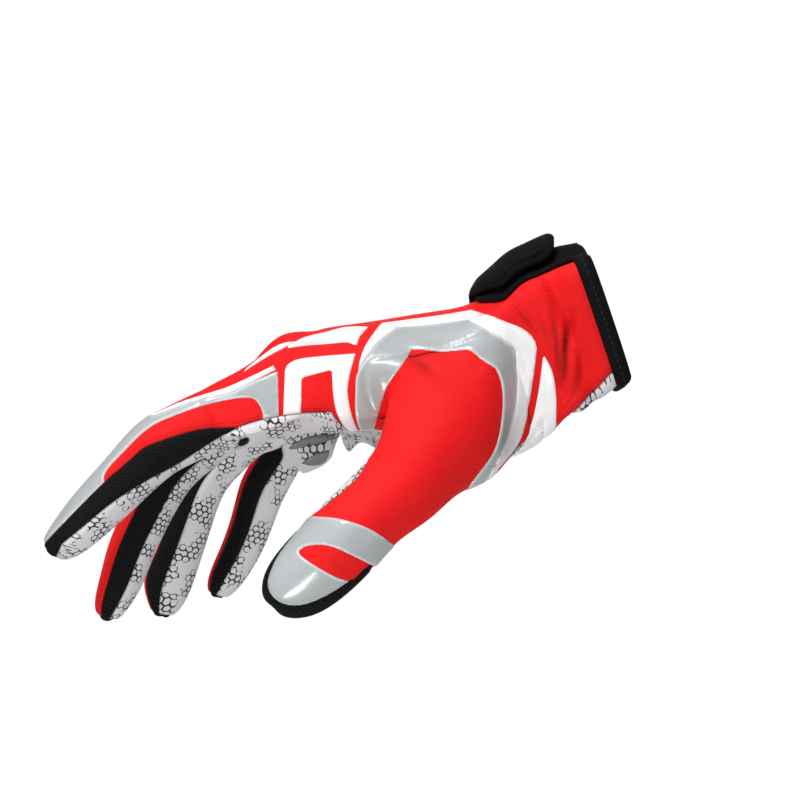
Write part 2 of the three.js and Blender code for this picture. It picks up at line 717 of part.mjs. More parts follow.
const films = [
  {
    name: 'thumb_cap_film', colour: 'grey', on: ['thumb_back_panel'],
    place: 'thumb', edge: 'capEdge', openings: ['capFlame'],
  },
  {
    name: 'thumb_arch_film', colour: 'grey', on: ['back_panel', 'thumb_back_panel'],
    place: 'hand', edge: 'archEdge', openings: ['archOpening'],
  },
  {
    name: 'thumb_border_film', colour: 'white', on: ['back_panel', 'thumb_back_panel'],
    place: 'hand', edge: 'borderEdge', openings: ['archEdge'],
  },
  {
    name: 'wrist_fin_film', colour: 'white', on: ['back_panel', 'palm_panel', 'thumb_back_panel', 'thumb_palm_panel'],
    place: 'hand', edge: 'finEdge', openings: [],
  },
  {
    name: 'knuckle_frame_film', colour: 'white', on: ['back_panel'],
    place: 'hand', edge: 'frameEdge', openings: ['frameOpening'],
  },
  {
    name: 'knuckle_band_film', colour: 'white', on: ['back_panel'],
    place: 'hand', edge: 'bandEdge', openings: [],
  },
  {
    name: 'index_film', colour: 'grey', on: ['back_panel'],
    place: 'index', edge: 'indexEdge', openings: ['indexOpening'],
  },
  {
    name: 'index_stripe_film', colour: 'white', on: ['back_panel'],
    place: 'index', edge: 'stripeEdge', openings: [],
  },
];

const facesOf = (panels) => skin.faces.filter(({ panel }) => panels.includes(panel));

// A bar through the hand from the thumb's side, with an outline of the side view as its section.
function sideBar(rows, place, grow) {
  const points = rows.map(({ reach, rise, corner }) => ({
    place: new THREE.Vector2(place.x - reach * place.size, place.z + rise * place.size), corner,
  }));
  const section = new wasm.CrossSection([outlinePlaces(points)], 'NonZero').offset(grow, 'Miter');
  return section.simplify(outlineEvenness).extrude(2 * palmWidth).rotate([90, 0, 0])
    .translate([0, place.nearest * palmWidth, 0]);
}

function filmGeometry({ on, place, edge, openings }) {
  const sheet = solidFrom(layer(facesOf(on), layGap, layGap + filmThickness, filmMargin));
  let film = sheet.intersect(sideBar(outlines[edge], filmPlaces[place], -seamGap / 2));
  for (const opening of openings) {
    film = film.subtract(sideBar(outlines[opening], filmPlaces[place], seamGap / 2));
  }
  return geometryOf(film);
}

// A strip on the back of the cuff: a rounded rectangle seen from above, cut from a layer of the skin.
function cuffStrip({ inset, length, near, far, rounding, inner, outer }) {
  const [left, right] = [-inset - length, -inset];
  const shape = new THREE.Shape()
    .moveTo(left + rounding, near)
    .lineTo(right - rounding, near)
    .absarc(right - rounding, near + rounding, rounding, -Math.PI / 2, 0)
    .lineTo(right, far - rounding)
    .absarc(right - rounding, far - rounding, rounding, 0, Math.PI / 2)
    .lineTo(left + rounding, far)
    .absarc(left + rounding, far - rounding, rounding, Math.PI / 2, Math.PI)
    .lineTo(left, near + rounding)
    .absarc(left + rounding, near + rounding, rounding, Math.PI, 3 * Math.PI / 2);
  const bar = new THREE.ExtrudeGeometry(shape, { depth: 2 * palmDepth, bevelEnabled: false, curveSegments: 3 });
  const sheet = solidFrom(layer(facesOf(['back_panel']), inner, outer, filmMargin));
  return geometryOf(sheet.intersect(solidFrom(mergeVertices(bar).translate(0, 0, -palmDepth / 3))));
}

// The corners along the cuff's edge in order, each with the direction out of the cloth and the direction into
// the glove, both evened out along the edge.
function rimStations() {
  const edges = edgesOf(skin);
  const near = skin.points.map(() => []);
  for (const { a, b } of edges.values()) {
    near[a].push(b);
    near[b].push(a);
  }
  const next = new Map();
  for (const { corners } of skin.faces) {
    corners.forEach((a, i) => {
      const b = corners[(i + 1) % corners.length];
      if (edges.get(edgeKey(a, b)).faces.length === 1) next.set(a, b);
    });
  }
  const around = [];
  const start = next.keys().next().value;
  for (let corner = start; around.length === 0 || corner !== start; corner = next.get(corner)) around.push(corner);
  let stations = around.map((corner) => {
    const ahead = near[corner].find((other) => !next.has(other));
    const point = skin.points[corner];
    const inward = skin.points[ahead].clone().sub(point).normalize();
    return { point, normal: skin.normals[corner], inward };
  });
  for (let round = 0; round < bindingEvening; round++) {
    const last = stations.length - 1;
    stations = stations.map((station, i) => {
      const before = stations[(i + last) % stations.length];
      const after = stations[(i + 1) % stations.length];
      const even = (key) => station[key].clone().multiplyScalar(2).add(before[key]).add(after[key]).normalize();
      return { point: station.point, normal: even('normal'), inward: even('inward') };
    });
  }
  return stations;
}

// The binding: a U that holds the cuff's edge, swept round it.
function bindingGeometry() {
  const middle = -wall / 2;
  const channel = wall / 2 + bindingGap;
  const half = channel + bindingThickness;
  const section = [
    [bindingWidth, middle + channel], [-bindingGap, middle + channel], [-bindingGap, middle - channel],
    [bindingWidth, middle - channel], [bindingWidth, middle - half], [0, middle - half],
    [-bindingGap - bindingThickness, middle], [0, middle + half], [bindingWidth, middle + half],
  ];
  const stations = rimStations();
  const points = stations.flatMap(({ point, normal, inward }) => section.map(([along, out]) => point.clone()
    .addScaledVector(inward, along).addScaledVector(normal, out)));
  const triangles = [];
  stations.forEach((_, i) => {
    const [here, there] = [i * section.length, ((i + 1) % stations.length) * section.length];
    section.forEach((__, j) => {
      const k = (j + 1) % section.length;
      triangles.push([here + j, there + j, there + k], [here + j, there + k, here + k]);
    });
  });
  return geometryFrom(points, triangles);
}

const colours = {
  red: { color: 0xf01418, roughness: 0.75, metalness: 0 },
  white: { color: 0xf2f2f2, roughness: 0.35, metalness: 0 },
  grey: { color: 0xaab0b2, roughness: 0.25, metalness: 0 },
  black: { color: 0x141414, roughness: 0.85, metalness: 0 },
  palm: { color: 0xd8d8dc, roughness: 0.45, metalness: 0 },
};

const glove = new THREE.Group();
function addPiece(name, geometry, colour) {
  const mesh = new THREE.Mesh(geometry, new THREE.MeshStandardMaterial(colours[colour]));
  mesh.name = name;
  glove.add(mesh);
}

const panelColours = {
  back_panel: 'red',
  palm_panel: 'palm',
  thumb_back_panel: 'red',
  thumb_palm_panel: 'palm',
};
for (const name of new Set(skin.faces.map(({ panel }) => panel))) {
  const panel = solidFrom(layer(facesOf([name]), -wall, 0, seamGap / 2, seamBevel));
  addPiece(name, geometryOf(panel), panelColours[name] ?? 'black');
}
for (const film of films) addPiece(film.name, filmGeometry(film), film.colour);
addPiece('cuff_binding', bindingGeometry(), 'black');
const patchTop = layGap + patchThickness;
addPiece('closure_patch', cuffStrip({
  inset: patchInset, length: patchLength, near: -patchWidth / 2, far: patchWidth / 2,
  rounding: patchRounding, inner: layGap, outer: patchTop,
}), 'black');

// The strap's free corner, on the thumb's side next to the cuff's edge, has come off the patch.
function strapHeight(point) {
  const alongArm = THREE.MathUtils.smoothstep(point.x, -strapInset - strapLength, -strapInset - strapTaper);
  const across = 1 - THREE.MathUtils.smoothstep(point.y, -strapReach, strapReach);
  return patchTop + layGap + strapLift * alongArm * across;
}
function strapTop(point) {
  const handEnd = -strapInset - strapLength;
  const full = THREE.MathUtils.smoothstep(point.x, handEnd - strapTaper / 3, handEnd + strapTaper);
  return strapHeight(point) + strapThickness * (1 - strapThinning * (1 - full));
}
addPiece('wrist_strap', cuffStrip({
  inset: strapInset, length: strapLength, near: -strapReach, far: palmWidth / 2,
  rounding: strapRounding, inner: strapHeight, outer: strapTop,
}), 'black');

export default glove;
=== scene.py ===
import math

import bpy
import numpy as np
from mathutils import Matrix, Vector
from mathutils.kdtree import KDTree


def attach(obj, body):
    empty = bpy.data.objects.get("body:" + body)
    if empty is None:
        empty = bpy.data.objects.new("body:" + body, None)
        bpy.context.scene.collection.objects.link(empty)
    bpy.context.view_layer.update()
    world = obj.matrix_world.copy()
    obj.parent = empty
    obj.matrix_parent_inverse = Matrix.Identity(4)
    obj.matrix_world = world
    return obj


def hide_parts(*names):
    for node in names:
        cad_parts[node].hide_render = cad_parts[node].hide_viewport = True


# The looks of a right-hand receiver glove: cloth panels sewn round an open hand shape, with films bonded on.
# Metres. +X runs back along the wearer's arm, -Y is the thumb's side and +Z is the back of the hand.

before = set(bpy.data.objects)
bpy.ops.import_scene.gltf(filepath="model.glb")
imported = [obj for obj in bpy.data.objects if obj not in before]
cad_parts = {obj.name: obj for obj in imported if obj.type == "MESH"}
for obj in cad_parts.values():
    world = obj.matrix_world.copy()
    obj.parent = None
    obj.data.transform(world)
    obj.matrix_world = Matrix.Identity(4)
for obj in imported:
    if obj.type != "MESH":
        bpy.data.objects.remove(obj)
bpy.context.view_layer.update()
print("frame loaded")

mm = 0.001

hand = {
    "palmLength": 106 * mm, "palmWidth": 84 * mm, "palmDepth": 40 * mm,
    "fingerLength": 105 * mm, "fingerWidth": 19 * mm, "fingerDepth": 18.5 * mm, "webReach": 21 * mm,
    "thumbLength": 119 * mm, "thumbWidth": 25.5 * mm, "thumbDepth": 22.6 * mm,
    "roundness": 2.5, "hollowSpread": 0.42, "heelPlace": 0.62, "heelSpread": 0.4,
    "firstThumbRow": 5, "thumbGussetFrom": 5, "fitRounds": 8,
    "levels": 4,
}
palmLength = hand["palmLength"]
# How far apart the flat patterns of the fingers lie, where the thumb's lies, the size of a tip's end, and
# the share of the thumb's length at which its pattern starts
pattern = {"finger": 70 * mm, "thumb": 300 * mm, "tip": 4 * mm, "thumbRoot": 0.2}

# reach, rise, pitch, width, top, bottom, bow, arch, hollow, near heel, far heel, shoulder, seam
handRows = [
    (0, 0, 19.5, 0.74, 0.59, 0.6, 0.008, 0, 0, 0, 0, 0.9, 0.74),
    (0.07, -0.028, 20, 0.745, 0.59, 0.61, 0.008, 0, 0, 0, 0, 0.9, 0.72),
    (0.115, -0.045, 21.5, 0.69, 0.58, 0.61, 0.006, 0, 0.01, 0, 0, 0.9, 0.72),
    (0.15, -0.06, 21.5, 0.755, 0.575, 0.62, 0.004, 0, 0.02, 0.01, 0, 0.9, 0.72),
    (0.205, -0.083, 21, 0.73, 0.55, 0.62, 0, 0, 0.03, 0.01, 0.01, 0.9, 0.72),
    (0.305, -0.138, 18, 0.77, 0.51, 0.66, 0, 0.02, 0.07, 0.15, 0.08, 0.95, 0.72),
    (0.5, -0.17, 14, 0.87, 0.49, 0.62, 0, 0.06, 0.12, 0.16, 0.16, 0.96, 0.8),
    (0.73, -0.192, 12, 0.96, 0.45, 0.52, 0, 0.12, 0.1, 0, 0.3, 0.94, 0.9),
    (0.88, -0.208, 14, 1, 0.42, 0.47, 0, 0.14, 0.05, 0, 0.34, 0.9, 0.9),
]
fingers = [
    dict(name="index", back=1.0, side=-0.357, rise=-0.24, length=0.907, girth=1, depth=1.14,
         pitch=(23, 42, 47), yaw=(-3, -3, -2), roll=(-16, -12), edge=160, rootEdge=194, pad=0.1),
    dict(name="middle", back=0.985, side=-0.1, rise=-0.187, length=1.03, girth=1, depth=1,
         pitch=(38, 62, 72), yaw=(0, 0, 0), roll=(0, 0), edge=150, rootEdge=150, pad=0.2),
    dict(name="ring", back=0.945, side=0.155, rise=-0.2, length=0.965, girth=0.96, depth=1,
         pitch=(43, 68, 75), yaw=(7, 4, 2), roll=(14, 44), edge=150, rootEdge=150, pad=0.4),
    dict(name="little", back=0.92, side=0.381, rise=-0.275, length=0.725, girth=0.88, depth=1,
         pitch=(58, 72, 67), yaw=(6, 4, 2), roll=(22, 32), edge=150, rootEdge=150, pad=0.35),
]
boneShares = (0.475, 0.28, 0.245)
fingerRows = [  # bone, along, width, depth
    (0, 0.62, 0.98, 1.0), (0, 0.85, 0.98, 0.98), (1, 0.12, 0.98, 0.95), (1, 0.6, 0.92, 0.87),
    (2, 0.15, 0.88, 0.8), (2, 0.7, 0.74, 0.63), (2, 0.96, 0.38, 0.31),
]
fingerCorners = (90, 30, -30, -90, -150)
thumb = dict(name="thumb", back=0.241, side=-0.3, rise=-0.19, bones=(0.41, 0.315, 0.275),
             pitch=(39.5, 44.5, 44.5), yaw=(-27, -15, -3), roll=(-84, -80))
thumbRows = [  # bone, along, width, depth, free, lean
    (0, 0.74, 1.6, 1.35, 0.66, 0.3), (1, 0.02, 1.24, 1.16, 0.88, 0.1), (1, 0.3, 1.04, 1.04, 1, 0),
    (1, 0.65, 0.99, 1.0, 1, 0), (2, 0.05, 0.99, 0.98, 1, 0), (2, 0.42, 0.97, 0.9, 1, 0),
    (2, 0.78, 0.78, 0.68, 1, 0), (2, 0.97, 0.4, 0.36, 1, 0),
]
thumbCorners = (164, 90, 16, -32, -90, -148)


def unit(vector):
    return vector / np.linalg.norm(vector)


def units(rows):
    return rows / np.linalg.norm(rows, axis=1)[:, None]


def boneDirection(pitch, yaw):
    p, y = math.radians(pitch), math.radians(yaw)
    return np.array((-math.cos(p) * math.cos(y), math.sin(y), -math.sin(p) * math.cos(y)))


def digitFrame(digit, bones, bone, along):
    point = np.array((-digit["back"] * palmLength, digit["side"] * hand["palmWidth"],
                      digit["rise"] * palmLength))
    for i in range(bone):
        point = point + boneDirection(digit["pitch"][i], digit["yaw"][i]) * bones[i]
    here = boneDirection(digit["pitch"][bone], digit["yaw"][bone])
    point = point + here * bones[bone] * along
    other = bone - 1 if along < 0.5 else bone + 1
    turn = 0 if other < 0 or other > 2 else abs(along - 0.5)
    tangent = here
    if turn > 0:
        tangent = unit(here * (1 - turn) + boneDirection(digit["pitch"][other], digit["yaw"][other]) * turn)
    progress = (bone + along) / 3
    roll = math.radians(digit["roll"][0] + (digit["roll"][1] - digit["roll"][0]) * progress)
    up = unit(np.array((tangent[2] * math.copysign(1, -tangent[0]), 0, abs(tangent[0]))))
    side = unit(np.cross(tangent, up))
    up = np.cross(side, tangent)
    back = up * math.cos(roll) + side * math.sin(roll)
    return point, tangent, back, np.cross(tangent, back)


def sectionPoints(place, halfWidth, halfDepth, corners):
    point, _, back, across = place
    return [point + across * halfWidth * math.cos(c) + back * halfDepth * math.sin(c)
            for c in map(math.radians, corners)]


def handRowPoints(row):
    reach, rise, pitch, width, top, bottom, bow, arch, hollow, nearHeel, farHeel, shoulder, seam = row
    tilt = math.radians(pitch)
    up = np.array((-math.sin(tilt), 0, math.cos(tilt)))
    middle = np.array((-reach, 0, rise)) * palmLength
    place, spread = hand["heelPlace"], hand["heelSpread"]
    bump = lambda share, where, wide: math.exp(-(((share - where) / wide) ** 2))
    palmShape = lambda share: (hollow * bump(share, 0, hand["hollowSpread"])
                               - nearHeel * bump(share, -place, spread)
                               - farHeel * bump(share, place, spread))
    points = []
    halves = ((top, 1, shoulder, lambda share: 0), (-bottom, -1, seam, palmShape))
    for height, order, edge, shapeOf in halves:
        for i in range(9):
            share = order * (i / 4 - 1) * edge
            rounded = (1 - abs(share) ** hand["roundness"]) ** (1 / hand["roundness"])
            lift = height * rounded - arch * share * share + shapeOf(share)
            point = middle + up * hand["palmDepth"] * lift
            point[0] += bow * palmLength * share * share
            point[1] = share * width * hand["palmWidth"] / 2
            points.append(point)
    return points


def bonesOf(finger):
    return [share * finger["length"] * hand["fingerLength"] for share in boneShares]


def fingerSection(finger, place, width, depth, edge):
    return sectionPoints(place, width * finger["girth"] * hand["fingerWidth"] / 2,
                         depth * finger["girth"] * finger["depth"] * hand["fingerDepth"] / 2,
                         (edge,) + fingerCorners)


def fingerRowPoints(reach, widen, deepen, webDip, padShare):
    rings = []
    for finger in fingers:
        bones = bonesOf(finger)
        place = digitFrame(finger, bones, 0, reach / bones[0])
        ring = fingerSection(finger, place, widen, deepen, finger["rootEdge"])
        pad = padShare * finger["pad"] * hand["fingerDepth"]
        rings.append(ring[:3] + [point - place[2] * pad for point in ring[3:]])
    back, palm = [rings[0][0]], [rings[0][5]]
    for i, ring in enumerate(rings):
        back.append(ring[1])
        palm.append(ring[4])
        if i < 3:
            backWeb = (ring[2] + rings[i + 1][0]) / 2
            palmWeb = (ring[3] + rings[i + 1][5]) / 2
            back.append(backWeb + (palmWeb - backWeb) * webDip)
            palm.append(palmWeb + (backWeb - palmWeb) * webDip)
    return back + rings[3][2:4] + palm[::-1]


panelNames = ["back_panel", "palm_panel", "thumb_back_panel", "thumb_palm_panel", "thumb_gusset",
              "index_outer_gusset", "index_middle_gusset", "middle_ring_gusset", "ring_little_gusset",
              "little_outer_gusset"]


def indicesOf(panels):
    return [panelNames.index(name) for name in panels]


def buildCage():  # the coarse shape: points, four-sided faces, their places on the flat cloth, and panels
    points, faces, flats, tags = [], [], [], []
    backMiddle, lastBack, palmMiddle, lastPalm = 4, 8, 13, 17  # sides of a hand row's ring

    def addRing(ring):
        points.extend(ring)
        return list(range(len(points) - len(ring), len(points)))

    def around(ring):  # running length round a ring, for the cloth's flat pattern
        closed = [points[i] for i in ring] + [points[ring[0]]]
        steps = [np.linalg.norm(b - a) for a, b in zip(closed, closed[1:])]
        return np.concatenate(([0], np.cumsum(steps)))

    def addFace(corners, flat, panel):
        faces.append(corners)
        flats.append(flat)
        tags.append(panelNames.index(panel))

    def handFlat(ring, c, end):  # the end of side c of the ring, measured from the middle of its panel
        lengths = around(ring)
        middle = palmMiddle if lastBack < c < lastPalm else backMiddle
        return lengths[c + end] - lengths[middle] - (lengths[-1] if c == lastPalm else 0)

    def digitFlat(backStart, palmStart):
        def flat(ring, c, end):  # sides 3 and 4 of a digit's ring are its palm side
            lengths = around(ring)
            return palmStart + lengths[c + end] - lengths[4] if c in (3, 4) else backStart + lengths[c + end]
        return flat

    def joinRings(near, far, nearAlong, farAlong, flatOf, nameOf):
        count = len(near)
        for i in range(count):
            name = nameOf(i)
            if name:
                j = (i + 1) % count
                addFace([near[i], near[j], far[j], far[i]],
                        [(flatOf(near, i, 0), nearAlong), (flatOf(near, i, 1), nearAlong),
                         (flatOf(far, i, 1), farAlong), (flatOf(far, i, 0), farAlong)], name)

    def closeTip(ring, along, offset, first, second):
        step = pattern["tip"]
        for corners, name in (((0, 1, 4, 5), first), ((1, 2, 3, 4), second)):
            flat = [(offset, along), (offset + step, along), (offset + step, along + step),
                    (offset, along + step)]
            addFace([ring[i] for i in corners], flat, name)

    rows = [addRing(handRowPoints(row)) for row in handRows]
    rows.append(addRing(fingerRowPoints(0, widen=1.12, deepen=1.38, webDip=0.06, padShare=1)))
    rows.append(addRing(fingerRowPoints(hand["webReach"], widen=1.04, deepen=1.1, webDip=0.16,
                                        padShare=0.3)))
    along = [row[0] * palmLength for row in handRows]
    along += [palmLength, palmLength + hand["webReach"]]
    first = hand["firstThumbRow"]
    for i in range(len(rows) - 1):
        inThumb = i in (first, first + 1)
        joinRings(rows[i], rows[i + 1], along[i], along[i + 1], handFlat,
                  lambda c: None if c == lastPalm and inThumb else
                  "palm_panel" if lastBack < c < lastPalm else "back_panel")

    names = [finger["name"] for finger in fingers]
    for index, finger in enumerate(fingers):
        bones = bonesOf(finger)
        left = 2 * index  # the finger's first corner in the last row, whose palm side counts down from 17
        near = "index_outer_gusset" if index == 0 else f"{names[index - 1]}_{names[index]}_gusset"
        far = "little_outer_gusset" if index == 3 else f"{names[index]}_{names[index + 1]}_gusset"
        panelOf = lambda c: "back_panel" if c < 2 else far if c == 2 else near if c == 5 else "palm_panel"
        last = [rows[-1][c] for c in (left, left + 1, left + 2, 15 - left, 16 - left, 17 - left)]
        lastAlong = along[-1]
        flatOf = digitFlat(index * pattern["finger"], handFlat(rows[-1], 15 - left, 1))
        for bone, share, width, depth in fingerRows:
            ring = addRing(fingerSection(finger, digitFrame(finger, bones, bone, share), width, depth,
                                         finger["edge"]))
            ringAlong = palmLength + sum(bones[:bone]) + bones[bone] * share
            joinRings(last, ring, lastAlong, ringAlong, flatOf, panelOf)
            last, lastAlong = ring, ringAlong
        closeTip(last, lastAlong, index * pattern["finger"], near, far)

    nearRow, middleRow, farRow = rows[first:first + 3]
    root = [nearRow[0], middleRow[0], farRow[0], farRow[17], middleRow[17], nearRow[17]]
    last, lastAlong = root, pattern["thumbRoot"] * hand["thumbLength"]
    bones = [share * hand["thumbLength"] for share in thumb["bones"]]
    for index, (bone, share, width, depth, free, lean) in enumerate(thumbRows):
        place = digitFrame(thumb, bones, bone, share)
        section = sectionPoints(place, width * hand["thumbWidth"] / 2, depth * hand["thumbDepth"] / 2,
                                thumbCorners)
        section = section[:3] + [point + place[1] * lean * hand["thumbDepth"] for point in section[3:]]
        ring = addRing([points[root[i]] * (1 - free) + point * free for i, point in enumerate(section)])
        ringAlong = sum(bones[:bone]) + bones[bone] * share
        early = index < hand["thumbGussetFrom"]
        joinRings(last, ring, lastAlong, ringAlong, digitFlat(pattern["thumb"], pattern["thumb"]),
                  lambda c: "thumb_palm_panel" if c in (3, 4) else
                  "thumb_back_panel" if c < 2 or early else "thumb_gusset")
        last, lastAlong = ring, ringAlong
    closeTip(last, lastAlong, pattern["thumb"], "thumb_gusset", "thumb_gusset")
    return np.array(points), np.array(faces), np.array(flats), np.array(tags)


def sidesOf(faces):
    return np.stack((faces, np.roll(faces, -1, 1)), 2).reshape(-1, 2)


class Surface:  # points, four-sided faces, each face's corners on the flat cloth, and its panel
    def __init__(self, points, faces, flats, tags):
        self.points, self.faces, self.flats, self.tags = points, faces, flats, tags
        self.corners = faces.reshape(-1)
        self.count = np.bincount(self.corners, minlength=len(points))[:, None]  # faces at each point
        self.edges, self.edgeOf = np.unique(np.sort(sidesOf(faces), 1), axis=0, return_inverse=True)
        self.edgeOf = self.edgeOf.reshape(-1)
        self.inner = np.bincount(self.edgeOf) == 2
        self.rim = self.edges[~self.inner]
        self.onRim = np.zeros(len(points), bool)
        self.onRim[self.rim.reshape(-1)] = True

    def spread(self, index, values):  # sums values at the points that index names
        total = np.zeros((len(self.points), 3))
        np.add.at(total, index, values)
        return total

    def meeting(self, edges, values):  # the sum at each point of these edges' values
        a, b = edges.T
        return self.spread(a, values) + self.spread(b, values)

    def limits(self):  # where the points end up after endless subdivision
        a, b = self.edges.T
        near = self.spread(a, self.points[b]) + self.spread(b, self.points[a])
        far = self.spread(self.corners, self.points[np.roll(self.faces, 2, 1)].reshape(-1, 3))
        inside = (self.count ** 2 * self.points + 4 * near + far) / (self.count * (self.count + 5))
        a, b = self.rim.T
        rim = (4 * self.points + self.spread(a, self.points[b]) + self.spread(b, self.points[a])) / 6
        return np.where(self.onRim[:, None], rim, inside)

    def subdivided(self):  # one step of Catmull-Clark
        points, faces, inner = self.points, self.faces, self.inner
        centres = points[faces].mean(1)
        middles = points[self.edges].mean(1)
        touching = np.zeros((len(self.edges), 3))
        np.add.at(touching, self.edgeOf, np.repeat(centres, 4, 0))
        edgePoints = middles.copy()
        edgePoints[inner] = (middles[inner] + touching[inner] / 2) / 2
        around = self.spread(self.corners, np.repeat(centres, 4, 0)) / self.count
        valence = np.bincount(self.edges.reshape(-1), minlength=len(points))[:, None]
        edgeMean = self.meeting(self.edges, middles) / valence
        moved = (around + 2 * edgeMean + (self.count - 3) * points) / self.count
        rimMean = self.meeting(self.rim, middles[~inner]) / 2
        moved = np.where(self.onRim[:, None], (rimMean + points) / 2, moved)
        n, m = len(points), len(self.edges)
        edgeIds = n + self.edgeOf.reshape(-1, 4)
        centreIds = n + m + np.arange(len(faces))
        newFaces, newFlats = [], []
        flatMiddles = (self.flats + np.roll(self.flats, -1, 1)) / 2
        for i in range(4):
            newFaces.append(np.stack((faces[:, i], edgeIds[:, i], centreIds, edgeIds[:, i - 1]), 1))
            newFlats.append(np.stack((self.flats[:, i], flatMiddles[:, i], self.flats.mean(1),
                                      flatMiddles[:, i - 1]), 1))
        return Surface(np.concatenate((moved, edgePoints, centres)), np.concatenate(newFaces),
                       np.concatenate(newFlats), np.tile(self.tags, 4))

    def normals(self):
        a, b, c, d = self.points[self.faces].transpose(1, 0, 2)
        return units(self.spread(self.corners, np.repeat(np.cross(c - a, d - b), 4, 0)))


cage = Surface(*buildCage())
targets = cage.points.copy()
for _ in range(hand["fitRounds"]):  # the smooth surface passes through the tables' points
    cage.points = cage.points + targets - cage.limits()
skin = cage
for _ in range(hand["levels"]):
    skin = skin.subdivided()
skin.points = skin.limits()

# Soft pulls seen from the thumb's side: reach and rise as shares of the palm's length, then in mm the shift
# along the arm and up, the spread round that place, and the middle and the spread across the hand
pulls = [
    (1.634, -0.614, 0.7, -2.6, 30, -33, 12),
    (1.13, -0.165, 0, -1.9, 11, -12, 60),
    (1.02, -0.085, 0, 1.2, 9, -12, 60),
    (1.343, -0.876, 2.8, 0, 22, 18, 12),
    (1.253, -0.901, -2.2, -1.2, 12, 37, 10),
    (1.097, -0.702, 1.5, 0, 20, 37, 12),
    (1.47, -0.877, 1.6, 0, 14, -8, 10),
    (1.55, -0.92, -1.4, 0, 8, -8, 10),
    (1.043, -0.857, -1.3, 0, 12, -62, 20),
    (0.517, -0.614, 0.5, -0.9, 14, -50, 30),
    (0.755, -0.46, -1.0, 5.0, 8, 16, 14),
    (0.765, -0.46, -1.0, 8.0, 8, 31, 16),
    (0.885, -0.455, 0, -3.0, 6, 29, 14),
    (0.8, -0.425, 0, 4.0, 5, 34, 10),
    (0.79, -0.425, 0, 3.0, 5, 14, 12),
    (0.85, -0.44, 0, -3.2, 4, 26, 14),
    (1.15, -0.75, -1.0, 0, 22, 37, 10),
    (1.46, -0.85, -2.6, 0, 9, 20, 9),
    (1.76, -0.72, -1.0, -0.9, 6, -33, 12),
    (0.14, -0.335, 0, -1.3, 6, 0, 60),
    (0.31, -0.47, 0, -0.9, 8, -20, 40),
    (0.085, -0.30, 0, -4.2, 8, 0, 60),
    (0, -0.26, 0, -1.4, 6, 0, 60),
    (0.27, -0.45, 0, -1.5, 12, -20, 40),
    (0.345, 0.06, 0, 2.3, 8, 2, 18),
    (0.25, 0.1, 0, 2.6, 10, 2, 18),
    (0.648, -0.72, -0.5, 0.7, 9, -50, 20),
    (0.14, 0.16, 0, 2.0, 8, 2, 18),
]
for reach, rise, along, up, spread, side, wide in pulls:
    away = np.hypot(skin.points[:, 0] + reach * palmLength,
                    skin.points[:, 2] - rise * palmLength)
    share = np.exp(-(away / (spread * mm)) ** 2 - ((skin.points[:, 1] - side * mm) / (wide * mm)) ** 2)
    skin.points += share[:, None] * (np.array((along, 0, up)) * mm)
skinNormals = skin.normals()
print("skin", len(skin.points), "points")


def segmentDistance(spots, start, end):  # distance from flat spots to a line piece, and the share along it
    line = np.subtract(end, start)
    share = np.clip(((spots - start) @ line) / (line @ line), 0, 1)
    return np.linalg.norm(spots - (np.array(start) + share[:, None] * line), axis=1), share


def outlinePoints(table, place, steps=10):  # a closed line, smooth between its corners
    x, z, size = place["x"], place["z"], place["size"]
    rows = [(np.array((x - row[0] * size, z + row[1] * size)), len(row) > 2) for row in table]
    start = next(i for i, row in enumerate(rows) if row[1])
    rows = rows[start:] + rows[:start] + [rows[start]]
    line, run = [], [rows[0][0]]
    for spot, corner in rows[1:]:
        run.append(spot)
        if corner:
            pieces = 1 if len(run) == 2 else steps
            for i in range(len(run) - 1):
                a, b, c, d = run[max(i - 1, 0)], run[i], run[i + 1], run[min(i + 2, len(run) - 1)]
                for k in range(pieces):
                    t = k / pieces
                    line.append(0.5 * (2 * b + (c - a) * t + (2 * a - 5 * b + 4 * c - d) * t * t
                                       + (3 * b - a - 3 * c + d) * t ** 3))
            run = [spot]
    return np.array(line)


def outlineDistance(spots, line):  # to a closed line, less than 0 inside it
    best = np.full(len(spots), 1e9)
    inside = np.zeros(len(spots), bool)
    for a, b in zip(line, np.roll(line, -1, 0)):
        away, _ = segmentDistance(spots, a, b)
        best = np.minimum(best, away)
        crosses = (a[1] > spots[:, 1]) != (b[1] > spots[:, 1])
        if a[1] != b[1]:
            inside ^= crosses & (spots[:, 0] < (b[0] - a[0]) * (spots[:, 1] - a[1]) / (b[1] - a[1]) + a[0])
    return np.where(inside, -best, best)


def clipped(data, triangles, values):  # the part of some triangles where the values are 0 or less
    inside = values[triangles] <= 0
    count = inside.sum(1)
    turn = lambda rows, first: np.stack([rows[np.arange(len(rows)), (first + k) % 3] for k in range(3)], 1)
    one = turn(triangles[count == 1], np.argmax(inside[count == 1], 1))
    two = turn(triangles[count == 2], np.argmin(inside[count == 2], 1))
    cuts = np.concatenate((one[:, [0, 1]], one[:, [0, 2]], two[:, [0, 1]], two[:, [0, 2]]))
    pairs, back = np.unique(np.sort(cuts, 1), axis=0, return_inverse=True)
    a, b = values[pairs].T
    share = (a / (a - b))[:, None]
    added = data[pairs[:, 0]] + (data[pairs[:, 1]] - data[pairs[:, 0]]) * share
    ids = len(data) + back.reshape(-1)
    oneB, oneC, twoB, twoC = np.split(ids, np.cumsum((len(one), len(one), len(two))))
    made = [triangles[count == 3], np.stack((one[:, 0], oneB, oneC), 1),
            np.stack((twoB, two[:, 1], two[:, 2]), 1), np.stack((twoB, two[:, 2], twoC), 1)]
    return (np.concatenate((data, added)), np.concatenate(made),
            np.concatenate((values, np.zeros(len(added)))))


